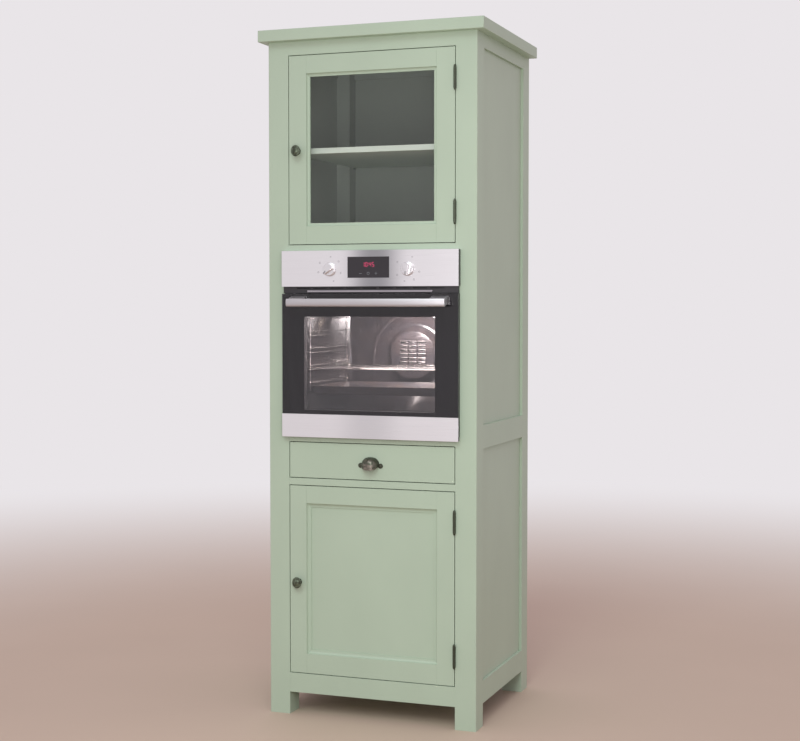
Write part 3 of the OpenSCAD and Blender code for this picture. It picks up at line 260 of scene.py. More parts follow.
def brushed_stainless_painted_reflection(name, shade_x_mm, shade_mm, shade):
    """Stainless steel sheet brushed from side to side: fine lines across, and a gloss broken by them.

    A painted reflection, a soft darker band, has its middle at shade_x_mm and the half width
    shade_mm, and the strength shade.
    """
    steel = bpy.context.scene.cabinet.steel
    material, tree, coords = new_material(name)
    # Real brushing is about 0.1 mm apart; it is drawn at 0.6 mm so that it shows
    scaled = add(tree, "Mapping", {"Vector": coords, "Scale": per_mm(90, 30, 0.6)})
    lines = add(tree, "TexNoise", {"Vector": scaled, "Scale": 1.0, "Detail": 3.0})
    scaled = add(tree, "Mapping", {"Vector": coords, "Scale": per_mm(180, 60, 18)})
    broad = add(tree, "TexNoise", {"Vector": scaled, "Scale": 1.0, "Detail": 2.0})
    colour = add(tree, "Mix", {
        0: lines, 6: tinted(steel, 0.94), 7: tinted(steel, 1.04)
    }, data_type="RGBA")
    faint = add(tree, "MapRange", {"Value": broad, "To Min": 0.0, "To Max": 0.25})
    colour = add(tree, "Mix", {0: faint, 6: colour, 7: tinted(steel, 0.88)}, data_type="RGBA")
    # Painted reflection: a soft darker band across the sheet, for a dark surround mirrored in the steel
    place = add(tree, "SeparateXYZ", {"Vector": coords})
    off = add(tree, "Math", {0: place.outputs["X"], 1: shade_x_mm * MM}, operation="SUBTRACT")
    off = add(tree, "Math", {0: off}, operation="ABSOLUTE")
    middle = add(tree, "MapRange", {
        "Value": off, "From Min": shade_mm * MM, "From Max": 0.0, "To Min": 0.0, "To Max": shade
    }, interpolation_type="SMOOTHERSTEP")
    shader = add(tree, "BsdfPrincipled", {
        "Base Color": add(tree, "Mix", {0: middle, 6: colour, 7: srgb("#75757a")}, data_type="RGBA"),
        "Metallic": 1.0,
        "Roughness": add(tree, "MapRange", {"Value": lines, "To Min": 0.24, "To Max": 0.36}),
        "Normal": add(tree, "Bump", {"Height": lines, "Distance": 0.012 * MM}),
    })
    add(tree, "OutputMaterial", {"Surface": shader})
    return material


def galvanised_sheet():
    """Galvanised steel sheet: zinc spangle in flat facets about 9 mm wide, each of its own tone."""
    material, tree, coords = new_material("galvanised_sheet")
    cells = add(tree, "TexVoronoi", {"Vector": coords, "Scale": 1 / (9 * MM)})
    tone = add(tree, "SeparateColor", {"Color": cells.outputs["Color"]}).outputs[0]
    shader = add(tree, "BsdfPrincipled", {
        "Base Color": add(tree, "Mix", {
            0: tone, 6: srgb("#9da0a1"), 7: srgb("#b9bcbd")
        }, data_type="RGBA"),
        "Metallic": 0.9,
        "Roughness": add(tree, "MapRange", {"Value": tone, "To Min": 0.34, "To Max": 0.52}),
        "Normal": add(tree, "Bump", {"Height": tone, "Distance": 0.01 * MM}),
    })
    add(tree, "OutputMaterial", {"Surface": shader})
    return material


def vitreous_enamel(name, code, fleck_code, roughness, scorch):
    """Vitreous enamel on steel: a wet gloss over colour with fine pale flecks, baked brown in patches.

    scorch is how strongly the brown patches cover the colour.
    """
    material, tree, coords = new_material(name)
    # Flecks are 0.3 mm in real enamel; they are drawn at 1.4 mm so that they show
    cells = add(tree, "TexVoronoi", {"Vector": coords, "Scale": 1 / (5 * MM)})
    fleck = add(tree, "MapRange", {
        "Value": cells, "From Min": 0.08, "From Max": 0.16, "To Min": 0.15, "To Max": 0.0
    })
    colour = add(tree, "Mix", {0: fleck, 6: srgb(code), 7: srgb(fleck_code)}, data_type="RGBA")
    scaled = add(tree, "Mapping", {"Vector": coords, "Scale": per_mm(45, 30, 30)})
    burnt = add(tree, "TexNoise", {"Vector": scaled, "Scale": 1.0, "Detail": 4.0})
    brown = add(tree, "MapRange", {"Value": burnt, "From Min": 0.3, "From Max": 0.7, "To Max": scorch})
    # The coat runs a little before it sets: shallow waves about 60 mm wide
    waves = add(tree, "TexNoise", {"Vector": coords, "Scale": 1 / (60 * MM), "Detail": 1.0})
    shader = add(tree, "BsdfPrincipled", {
        "Base Color": add(tree, "Mix", {0: brown, 6: colour, 7: srgb("#54402f")}, data_type="RGBA"),
        "Roughness": add(tree, "MapRange", {
            "Value": burnt, "To Min": roughness, "To Max": roughness * 1.5
        }),
        "Specular IOR Level": 0.7,
        "Coat Weight": 0.6,
        "Coat Roughness": 0.06,
        "Normal": add(tree, "Bump", {"Height": waves, "Distance": 0.3 * MM}),
    })
    add(tree, "OutputMaterial", {"Surface": shader})
    return material


def lacquered_beech(name, code, along):
    """Clear lacquered wood: straight grain with short dark flecks along each board."""
    material, tree, coords = new_material(name)
    size = {"across": (160, 5, 5), "deep": (5, 160, 5)}[along]
    scaled = add(tree, "Mapping", {"Vector": coords, "Scale": per_mm(*size)})
    grain = add(tree, "TexNoise", {"Vector": scaled, "Scale": 1.0, "Detail": 5.0})
    size = {"across": (9, 0.8, 0.8), "deep": (0.8, 9, 0.8)}[along]
    scaled = add(tree, "Mapping", {"Vector": coords, "Scale": per_mm(*size)})
    rays = add(tree, "TexNoise", {"Vector": scaled, "Scale": 1.0, "Detail": 1.0})
    dark = add(tree, "MapRange", {
        "Value": rays, "From Min": 0.62, "From Max": 0.7, "To Min": 0.0, "To Max": 0.5
    })
    tone = srgb(code)
    colour = add(tree, "Mix", {
        0: grain, 6: tinted(tone, 0.82), 7: tinted(tone, 1.12)
    }, data_type="RGBA")
    shader = add(tree, "BsdfPrincipled", {
        "Base Color": add(tree, "Mix", {0: dark, 6: colour, 7: srgb("#9a7148")}, data_type="RGBA"),
        "Roughness": add(tree, "MapRange", {"Value": grain, "To Min": 0.38, "To Max": 0.5}),
        "Normal": add(tree, "Bump", {"Height": rays, "Distance": 0.03 * MM}),
    })
    add(tree, "OutputMaterial", {"Surface": shader})
    return material


def float_glass(name, code, ior, smear):
    """Float glass: clear with a tint, open to light from lamps, with faint smears in its gloss."""
    material, tree, coords = new_material(name)
    scaled = add(tree, "Mapping", {"Vector": coords, "Scale": per_mm(60, 60, 120)})
    smears = add(tree, "TexNoise", {"Vector": scaled, "Scale": 1.0, "Detail": 3.0})
    glass = add(tree, "BsdfPrincipled", {
        "Base Color": srgb(code),
        "Transmission Weight": 1.0,
        "IOR": ior,
        "Roughness": add(tree, "MapRange", {"Value": smears, "To Min": 0.0, "To Max": smear}),
    })
    through = add(tree, "BsdfTransparent", {"Color": srgb(code)})
    path = add(tree, "LightPath").outputs
    lamp_ray = add(
        tree, "Math", {0: path["Is Shadow Ray"], 1: path["Is Diffuse Ray"]}, operation="MAXIMUM"
    )
    shader = add(tree, "MixShader", {0: lamp_ray, 1: glass, 2: through})
    add(tree, "OutputMaterial", {"Surface": shader})
    return material


def seen_directly(tree):
    """A factor that is 1 where the camera, a gloss or a glass looks, and 0 for light on the object."""
    path = add(tree, "LightPath").outputs
    seen = add(tree, "Math", {0: path["Is Camera Ray"], 1: path["Is Glossy Ray"]}, operation="MAXIMUM")
    return add(tree, "Math", {0: seen, 1: path["Is Transmission Ray"]}, operation="MAXIMUM")


def matt_pale_floor():
    """Matt pale floor, a little uneven, that fades to the backdrop's colour a few metres out.

    The fade is only seen, and adds no light on the object.
    """
    stage = bpy.context.scene.cabinet_stage
    material, tree, coords = new_material("matt_pale_floor")
    drift = add(tree, "TexNoise", {"Vector": coords, "Scale": 1 / (500 * MM), "Detail": 2.0})
    floor = add(tree, "BsdfPrincipled", {
        "Base Color": add(tree, "Mix", {
            0: drift, 6: tinted(stage.floor, 0.97), 7: tinted(stage.floor, 1.03)
        }, data_type="RGBA"),
        "Roughness": 0.75,
        "Specular IOR Level": 0.2,
    })
    far = add(tree, "Emission", {"Color": stage.backdrop, "Strength": 1.0})
    distance = add(tree, "VectorMath", {0: coords}, operation="LENGTH")
    fade = add(tree, "MapRange", {
        "Value": distance, "From Min": 1.4, "From Max": 6.5
    }, interpolation_type="SMOOTHSTEP")
    fade = add(tree, "Math", {0: fade, 1: seen_directly(tree)}, operation="MULTIPLY")
    add(tree, "OutputMaterial", {"Surface": add(tree, "MixShader", {0: fade, 1: floor, 2: far})})
    return material


# Shapes


def dress(node, material, edge=0.0, segments=2):
    """Gives a CAD node its finish, with eased edges and smooth curves by modifiers."""
    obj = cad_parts[node]
    obj.data.materials.clear()
    obj.data.materials.append(material)
    obj.data.polygons.foreach_set("use_smooth", [True] * len(obj.data.polygons))
    weld = obj.modifiers.new("weld", "WELD")
    weld.merge_threshold = 0.01 * MM
    flat = obj.modifiers.new("flat faces", "DECIMATE")
    flat.decimate_type = "DISSOLVE"
    flat.angle_limit = math.radians(0.5)
    if edge:
        bevel = obj.modifiers.new("eased edges", "BEVEL")
        bevel.width = edge
        bevel.segments = segments
        bevel.limit_method = "ANGLE"
        bevel.angle_limit = math.radians(CREASE)
        bevel.miter_outer = "MITER_ARC"
    normals = obj.modifiers.new("even shading", "WEIGHTED_NORMAL")
    normals.keep_sharp = True
    normals.weight = 80


def sort_by_place(bm):
    """Sorts a mesh by where its vertices are: extruding and spinning give a new order each run."""
    rank = {v: i for i, v in enumerate(sorted(bm.verts, key=lambda v: v.co[:]))}
    for elements in (bm.edges, bm.faces):
        ordered = sorted(elements, key=lambda g: sorted(rank[v] for v in g.verts))
        elements.sort(key={g: i for i, g in enumerate(ordered)}.get)
    bm.verts.sort(key=rank.get)


def make_piece(name, build, body, material, replaces=(), crease=CREASE):
    """Makes a piece from what build puts in a new mesh, in mm, and lets it ride on a body."""
    bm = bmesh.new()
    build(bm)
    bmesh.ops.transform(bm, matrix=Matrix.Scale(MM, 4), verts=bm.verts)
    bmesh.ops.remove_doubles(bm, verts=bm.verts, dist=0.005 * MM)
    bmesh.ops.recalc_face_normals(bm, faces=bm.faces)
    sort_by_place(bm)
    for face in bm.faces:
        face.smooth = True
    for edge in bm.edges:
        if len(edge.link_faces) == 2:
            edge.smooth = edge.calc_face_angle() < math.radians(crease)
    mesh = bpy.data.meshes.new(name)
    bm.to_mesh(mesh)
    bm.free()
    mesh.materials.append(material)
    obj = bpy.data.objects.new(name, mesh)
    bpy.context.scene.collection.objects.link(obj)
    if replaces:
        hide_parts(*replaces)
    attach(obj, body)


def verts_of(geom):
    """The vertices in what a bmesh operator gives back."""
    return [g for g in geom if isinstance(g, bmesh.types.BMVert)]


def ease(bm, edges, width, segments=2):
    """Rounds edges off over a width, and gives the new vertices."""
    return bmesh.ops.bevel(
        bm, geom=list(edges), offset=width, offset_type="OFFSET", affect="EDGES",
        segments=segments, profile=0.5, material=-1,
    )["verts"]


def block(bm, low, high, edge=0.0, turn=None):
    """Adds a box between two corners, with eased edges, turned about its middle."""
    low, high = Vector(low), Vector(high)
    place = Matrix.Translation((low + high) / 2) @ (turn or Matrix())
    verts = bmesh.ops.create_cube(
        bm, size=1, matrix=place @ Matrix.Diagonal([*(high - low), 1])
    )["verts"]
    if edge:
        ease(bm, {e for v in verts for e in v.link_edges}, edge)


def lathe(bm, outline, place, steps):
    """Spins a half outline of (radius, height) points, and puts the shape in its place."""
    before = set(bm.verts)
    verts = [bm.verts.new((r, 0, h)) for r, h in outline]
    edges = [bm.edges.new(pair) for pair in zip(verts, verts[1:])]
    bmesh.ops.spin(
        bm, geom=verts + edges, cent=(0, 0, 0), axis=(0, 0, 1), dvec=(0, 0, 0),
        angle=2 * math.pi, steps=steps, use_merge=True, use_duplicate=False,
    )
    bmesh.ops.transform(bm, matrix=place, verts=[v for v in bm.verts if v not in before])


def flat_bar(bm, x, z, half_x, half_z, front, proud=0.1, edge=0.0):
    """Adds a bar by its middle and half sizes, let 0.1 mm into a front face and hardly proud of it."""
    block(bm, (x - half_x, front - proud, z - half_z), (x + half_x, front + 0.1, z + half_z), edge)


def flat_ring(bm, x, z, inner, outer, front):
    """Adds a ring by its middle and radii, hardly proud of a front face."""
    place = Matrix.Translation((x, front + 0.05, z)) @ FACING_FRONT
    lathe(bm, [(inner, 0), (inner, 0.15), (outer, 0.15), (outer, 0)], place, 24)


def arc(middle, radius, start, end, steps):
    """Points of an arc, by its angles in degrees."""
    angles = [math.radians(start + (end - start) * i / steps) for i in range(steps + 1)]
    return [(middle[0] + radius * math.cos(a), middle[1] + radius * math.sin(a)) for a in angles]


def centre(node):
    """The middle of a node's box in mm."""
    low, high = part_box(node)
    return (low + high) / 2 / MM


def lamp(name, kind, place, aim, size, power, colour):
    """Adds an area lamp or a sun aimed at a place; size is a width in m, or an angle in degrees."""
    light = bpy.data.lights.new(name, kind)
    if kind == "SUN":
        light.angle = math.radians(size)
    else:
        light.size = size
    light.energy = power
    light.color = srgb(colour)[:3]
    obj = bpy.data.objects.new(name, light)
    obj.location = place
    obj.rotation_euler = (Vector(aim) - Vector(place)).to_track_quat("-Z", "Y").to_euler()
    obj.visible_camera = False
    bpy.context.scene.collection.objects.link(obj)


# Operators


class CABINET_OT_stage(bpy.types.Operator):
    """Adds the floor, the soft light, the lamps and the camera"""

    bl_idname = "cabinet.stage"
    bl_label = "Stage and camera"

    def execute(self, context):
        scene = context.scene
        stage = scene.cabinet_stage
        mesh = bpy.data.meshes.new("floor")
        bm = bmesh.new()
        bmesh.ops.create_circle(bm, cap_ends=True, segments=96, radius=14)
        bm.to_mesh(mesh)
        bm.free()
        floor = bpy.data.objects.new("floor", mesh)
        mesh.materials.append(matt_pale_floor())
        scene.collection.objects.link(floor)

        world = bpy.data.worlds.new("studio")
        world.use_nodes = True
        tree = world.node_tree
        tree.nodes.clear()
        soft = add(tree, "Background", {"Color": stage.soft_light, "Strength": 1.0})
        behind = add(tree, "Background", {"Color": stage.backdrop, "Strength": 1.0})
        sky = add(tree, "MixShader", {0: seen_directly(tree), 1: soft, 2: behind})
        add(tree, "OutputWorld", {"Surface": sky})
        scene.world = world
        scene.view_settings.view_transform = "Standard"

        # The two lamps are aimed at the oven and at the glazed door
        oven, glazed_door = (0.1, -0.3, 1.3), (0.3, -0.3, 1.9)
        lamp("soft_sun", "SUN", (0.3, -3.6, 4.4), (0, 0, 1), 28, stage.sun, "#ecfffe")
        lamp("front_lamp", "AREA", (0.75, -2.35, 1.3), oven, 0.8, stage.front_lamp, "#ffffff")
        lamp("upper_lamp", "AREA", (0.7, -1.7, 2.1), glazed_door, 0.8, stage.upper_lamp, "#ffffff")
        camera = bpy.data.cameras.new("camera")
        camera.sensor_fit = "HORIZONTAL"
        camera.sensor_width = 36.0
        # The photograph's lens: a focal length of 1524 pixels in a frame 800 pixels wide
        camera.lens = 36.0 * 1524.07 / 800
        # The photograph's standpoint: at the right, 1.33 m up, looking 2.5 degrees down
        eye = bpy.data.objects.new("camera", camera)
        eye.location = (1.7389, -4.7411, 1.3259)
        eye.rotation_euler = (math.radians(90 - 2.472), 0, math.radians(20.13))
        scene.collection.objects.link(eye)
        scene.camera = eye
        return {"FINISHED"}


class CABINET_OT_body(bpy.types.Operator):
    """Paints the posts, rails, panels, floors, shelves and crown"""

    bl_idname = "cabinet.body"
    bl_label = "Painted body"

    def execute(self, context):
        edge = context.scene.cabinet.wood_edge
        upright, across, deep = (satin_alkyd_paint(along, along) for along in BRUSH_MARKS)
        for node in ("front_posts", "rear_posts", "side_panels", "back_panels"):
            dress(node, upright, edge)
        for node in (
            "front_rails", "rear_rails", "glazed_floor", "oven_floor", "drawer_dust_board",
            "cabinet_floor",
        ):
            dress(node, across, edge)
        dress("crown_top", across)
        # A paler copy of the paint, which is also a painted highlight for the shelves' lit front edges
        shelves = satin_alkyd_paint("shelves", "across", coat=context.scene.cabinet.shelves)
        for node in ("glazed_shelf", "cupboard_shelf"):
            dress(node, shelves)
        dress("side_rails", deep, edge)
        # Bright nickel, slightly clouded every 3 mm
        dress("shelf_pins", patterned(
            "nickel_plated_steel", "#b5b5b2", "#cfcfcc", (0.14, 0.28), (3, 3, 3), Metallic=1.0
        ), 0.4 * MM)
        # Moulded plastic with an even fine grit
        dress("door_catches", patterned(
            "white_abs", "#cbc7bf", "#e4e0d8", (0.35, 0.45), (1.2, 1.2, 1.2)
        ))
        dress("drawer_runners", lacquered_beech("beech_runners", "#c9a877", "deep"), edge)
        return {"FINISHED"}


class CABINET_OT_doors(bpy.types.Operator):
    """Paints the two doors and the drawer's front, and glazes the upper door"""

    bl_idname = "cabinet.doors"
    bl_label = "Doors and drawer front"

    def execute(self, context):
        edge = context.scene.cabinet.wood_edge
        across = bpy.data.materials["satin_alkyd_paint_across"]
        upright = bpy.data.materials["satin_alkyd_paint_upright"]
        for frame_node, inner in (
            ("glazed_door_frame", "glazed_door_beads"), ("panel_door_frame", "panel_door_moulding")
        ):
            half = round(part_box(inner)[1].x / MM)
            # Filled and painted joints hardly show, so the edges of these members are eased less
            dress(frame_node, satin_alkyd_paint(frame_node, "across", half), edge / 3)
            dress(inner, upright, 0.2 * MM)
        dress("panel_door_panel", upright)
        dress("drawer_front", across, edge)
        dress("glazed_door_pane", float_glass("clear_float_glass", "#f2f5f3", 1.32, 0.03))
        return {"FINISHED"}


class CABINET_OT_drawer_box(bpy.types.Operator):
    """Finishes the drawer's dovetailed box"""

    bl_idname = "cabinet.drawer_box"
    bl_label = "Drawer box"

    def execute(self, context):
        dress("drawer_box", lacquered_beech("beech_drawer_sides", "#d9c39a", "deep"), 0.8 * MM)
        dress("drawer_bottom", lacquered_beech("birch_plywood", "#cdb183", "across"), 0.3 * MM)
        return {"FINISHED"}


class CABINET_OT_bronze_fittings(bpy.types.Operator):
    """Finishes hinges and cup pull, and turns the two door knobs"""

    bl_idname = "cabinet.bronze_fittings"
    bl_label = "Bronze fittings"

    def execute(self, context):
        bronze = aged_bronze("aged_bronze", "#74806c")
        for node in ("hinge_frame_leaves", "hinge_pins", "glazed_door_fittings", "panel_door_fittings"):
            dress(node, bronze, 0.2 * MM)
        dress("cup_pull", aged_bronze("aged_bronze_pull", "#8f867c"), 0.25 * MM)
        for node, body in (("glazed_door_knob", "glazed_door"), ("panel_door_knob", "panel_door")):
            low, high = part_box(node)
            oval = Matrix.Diagonal((1, (high.z - low.z) / (high.x - low.x), 1, 1))
            middle = centre(node)
            place = Matrix.Translation((middle.x, high.y / MM, middle.z)) @ FACING_FRONT @ oval
            make_piece(
                node + "_turned", lambda bm: lathe(bm, self.outline(), place, 64), body,
                bronze, (node,), 30,
            )
        return {"FINISHED"}

    @staticmethod
    def outline():
        """Half outline of a turned knob: base, cove, neck, and a head with a ring round a boss."""
        return [
            (0, 0), (9.5, 0), (9.5, 1.4), *arc((9.8, 6.4), 4.9, 262, 184, 6), (5.0, 8.5),
            (5.6, 11.5), (7.2, 14.0), (10.4, 16.2), (13.4, 17.6), *arc((12.2, 20.6), 3.3, -55, 80, 8),
            (11.8, 24.0), (10.8, 23.6), (10.0, 23.5), (9.0, 24.0), (7.6, 25.6), (5.2, 26.6),
            (2.6, 26.95), (0, 27.0),
        ]


class CABINET_OT_oven_housing(bpy.types.Operator):
    """Finishes the oven's casing, trim, motor and hinges"""

    bl_idname = "cabinet.oven_housing"
    bl_label = "Oven housing"

    def execute(self, context):
        edge = context.scene.cabinet.metal_edge
        galvanised = galvanised_sheet()
        for node in ("oven_casing", "fan_motor", "door_hinge_receivers", "door_hinge_arms"):
            dress(node, galvanised, edge)
        # Dull silvery plating, clouded every 4 mm
        dress("oven_screws", patterned(
            "zinc_plated_steel", "#adaeac", "#cfd0ce", (0.21, 0.42), (4, 4, 4), Metallic=1.0
        ), 0.2 * MM)
        # Stoved powder and moulded plastic: near black, with a fine even grit
        dress("oven_trim_frame", patterned(
            "black_powder_coat", "#262629", "#323235", (0.43, 0.57), (0.9, 0.9, 0.9)
        ), edge)
        dress("vent_grille", patterned(
            "black_pbt", "#262527", "#333134", (0.4, 0.5), (3, 3, 3), 0.005
        ), edge)
        return {"FINISHED"}


class CABINET_OT_control_panel(bpy.types.Operator):
    """Finishes the fascia, lights the clock's digits and prints the scales"""

    bl_idname = "cabinet.control_panel"
    bl_label = "Control panel"

    # Bars of a seven-segment digit that are lit, in the order of BARS
    LIT = {
        "0": "1110111", "1": "0010010", "2": "1011101", "3": "1011011", "4": "0111010",
        "5": "1101011", "6": "1101111", "7": "1010010", "8": "1111111", "9": "1111011",
    }
    # Middle of each bar in half widths and half heights of the digit, and whether it lies across
    BARS = (
        (0, 1, True), (-1, 0.5, False), (1, 0.5, False), (0, 0, True),
        (-1, -0.5, False), (1, -0.5, False), (0, -1, True),
    )

    # Heights of the digits and the touch marks from the middle of the window, in mm
    DIGITS_Z, MARKS_Z = 8.5, -19.5

    def execute(self, context):
        edge = context.scene.cabinet.metal_edge
        dress("control_panel", brushed_stainless_painted_reflection("brushed_stainless_fascia", 22, 135, 0.72), edge)
        # Moulded end caps cover the fascia's open ends; their near-black colour is also painted shade at
        # the fascia's sides
        low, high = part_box("control_panel")
        make_piece(
            "fascia_end_caps", lambda bm: self.caps(bm, low / MM, high / MM), "cabinet",
            patterned("black_abs_painted_shade", "#3a383a", "#454345", (0.4, 0.5), (1.2, 1.2, 1.2)),
        )
        # A narrow bright strip in the shade of the panel, clouded along its length; its darker colour is
        # painted shade
        dress("vent_strip", patterned(
            "bright_stainless_painted_shade", "#a19ca1", "#b7b2b7", (0.2, 0.32), (60, 12, 12), Metallic=1.0
        ), edge)
        # Smoked acrylic: a deep gloss with hardly any texture
        dress("display_window", patterned(
            "smoked_acrylic", "#262227", "#2d2a2e", (0.1, 0.16), (60, 60, 60), 0.002
        ), edge)
        low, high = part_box("display_window")
        front, middle_z = low.y / MM, (low.z + high.z) / 2 / MM
        # Red light-emitting bars behind the acrylic, glowing a little unevenly
        make_piece(
            "clock_digits",
            lambda bm: self.digits(bm, context.scene.cabinet.clock, front, middle_z + self.DIGITS_Z),
            "cabinet",
            patterned(
                "red_led_glow", "#7a2036", "#a83450", (0.2, 0.3), (6, 6, 6), 0.0,
                Emission_Color=srgb("#f0487c"), Emission_Strength=0.7,
            ),
        )
        # Screen prints: matt ink, its edge and cover slightly uneven
        make_piece(
            "touch_marks", lambda bm: self.touch_marks(bm, front, middle_z + self.MARKS_Z), "cabinet",
            patterned("grey_screen_print", "#5d6265", "#70767a", (0.45, 0.55), (2, 2, 2), 0.0),
        )
        make_piece(
            "knob_scales", lambda bm: self.scales(bm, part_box("control_panel")[0].y / MM), "cabinet",
            patterned("dark_screen_print", "#6b676c", "#838084", (0.45, 0.55), (2, 2, 2), 0.0),
        )
        return {"FINISHED"}

    def digits(self, bm, text, front, z):
        """Adds the clock's four digits and its colon, just proud of the window."""
        width, height, pitch, stroke = 5.8, 13.0, 10.0, 1.5
        # How far each pair stands off the colon's middle, and how far a bar stands proud
        apart, proud, edge = 1.2, 0.12, 0.08
        for i, letter in enumerate(text[:4]):
            x = (i - 1.5) * pitch + (apart if i > 1 else -apart)
            for (dx, dz, across), lit in zip(self.BARS, self.LIT.get(letter, "0" * 7)):
                if lit == "1":
                    half_x = (width - stroke) / 2 if across else stroke / 2
                    half_z = stroke / 2 if across else height / 4 - stroke / 3
                    dx, dz = dx * width / 2, dz * height / 2
                    flat_bar(bm, x + dx, z + dz, half_x, half_z, front, proud, edge)
        for dz in (-3, 3):
            flat_bar(bm, 0, z + dz, 0.8, 0.8, front, proud, edge)

    @staticmethod
    def caps(bm, low, high):
        """Adds a thin cap on each end of the fascia, behind its folded front edge."""
        half, fold, margin = 0.25, 1.2, 0.6
        for x in (low.x, high.x):
            block(
                bm, (x - half, low.y + fold, low.z + margin),
                (x + half, high.y - margin, high.z - margin), 0.1,
            )

    @staticmethod
    def touch_marks(bm, front, z):
        """Adds minus, round and plus marks under the digits."""
        apart, half, stroke = 26, 4.5, 0.7
        for x in (-apart, apart):
            flat_bar(bm, x, z, half, stroke, front)
        flat_bar(bm, apart, z, stroke, half, front)
        flat_ring(bm, 0, z, 3.2, 4.6, front)

    @staticmethod
    def scales(bm, front):
        """Adds small signs round the two knobs: a ring, three bars and two bars by turns."""
        radius = 39.5
        for node, angles in (
            ("function_knob", (-103, -58, 5, 51, 107, 160)),
            ("temperature_knob", (-119, -58, 23, 104, 148, 195)),
        ):
            middle = centre(node)
            for i, angle in enumerate(angles):
                a = math.radians(angle)
                x, z = middle.x + radius * math.sin(a), middle.z + radius * math.cos(a)
                if i % 3 == 0:
                    flat_ring(bm, x, z, 2.0, 2.8, front)
                else:
                    for dz in (-2.4, 0, 2.4) if i % 3 == 1 else (-1.2, 1.2):
                        flat_bar(bm, x, z + dz, 2.6, 0.4, front)


class CABINET_OT_oven_knobs(bpy.types.Operator):
    """Turns the two oven knobs, each with a grip that widens to one end"""

    bl_idname = "cabinet.oven_knobs"
    bl_label = "Oven knobs"

    # Heights of the grip's foot, let into the drum, and of its top above the fascia, in mm
    GRIP_FOOT, GRIP_TOP = 9.0, 22.9

    def execute(self, context):
        # Satin chrome, its gloss clouded every 12 mm
        metal = patterned(
            "satin_chrome_plate", "#dedbdd", "#efecee", (0.17, 0.3), (12, 12, 12), Metallic=1.0
        )
        # Black ink let into the grip
        ink = patterned("black_inlay", "#29262a", "#363235", (0.45, 0.55), (2, 2, 2), 0.0)
        # The first knob stands turned to a setting
        for node, turn in (("function_knob", -42), ("temperature_knob", 0)):
            low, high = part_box(node)
            middle = centre(node)
            place = Matrix.Translation((middle.x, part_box("control_panel")[0].y / MM, middle.z))
            place = place @ FACING_FRONT @ Matrix.Rotation(math.radians(turn), 4, "Z")
            radius = (high.x - low.x) / 2 / MM
            make_piece(
                node + "_turned", lambda bm: self.build(bm, place, radius), node, metal,
                (node,), 28,
            )
            make_piece(
                node + "_pointer", lambda bm: self.pointer(bm, place, radius), node,
                ink,
            )
        return {"FINISHED"}

    def build(self, bm, place, r):
        """Adds a knob's shaft, drum and grip; the grip's wide end follows the drum."""
        lathe(bm, [
            (0, -15.5), (2.9, -15.5), (2.9, 0.4), (r, 0.4), *arc((r - 0.8, 2.0), 0.8, -40, 60, 3),
            (r - 1.4, 5.6), *arc((r - 3.4, 7.6), 1.9, 10, 90, 5), (0, 9.5),
        ], place, 64)
        outline = [(-3.8, 2.6 - r), (-2.4, 2.1 - r), (2.4, 2.1 - r), (3.8, 2.6 - r)]
        outline += arc((0, 0), r - 2.2, 49, 131, 10)
        verts = [bm.verts.new((x, y, self.GRIP_FOOT)) for x, y in outline]
        face = bm.faces.new(verts)
        drawn = bmesh.ops.extrude_face_region(bm, geom=[face])["geom"]
        top = verts_of(drawn)
        bmesh.ops.translate(bm, vec=(0, 0, self.GRIP_TOP - self.GRIP_FOOT), verts=top)
        # The grip narrows a little towards its top
        bmesh.ops.scale(bm, vec=(0.9, 0.95, 1), verts=top)
        rim = {e for g in drawn if isinstance(g, bmesh.types.BMFace) for e in g.edges}
        rounded = ease(bm, rim, 1.3, 3)
        grip = {v for v in verts + top + rounded if v.is_valid}
        bmesh.ops.transform(bm, matrix=place, verts=list(grip))

    def pointer(self, bm, place, r):
        """Adds the dark line let into the narrow end of the grip."""
        block(bm, (-1.2, 3.6 - r, self.GRIP_TOP - 0.2), (1.2, -8, self.GRIP_TOP + 0.08))
        bmesh.ops.transform(bm, matrix=place, verts=bm.verts)


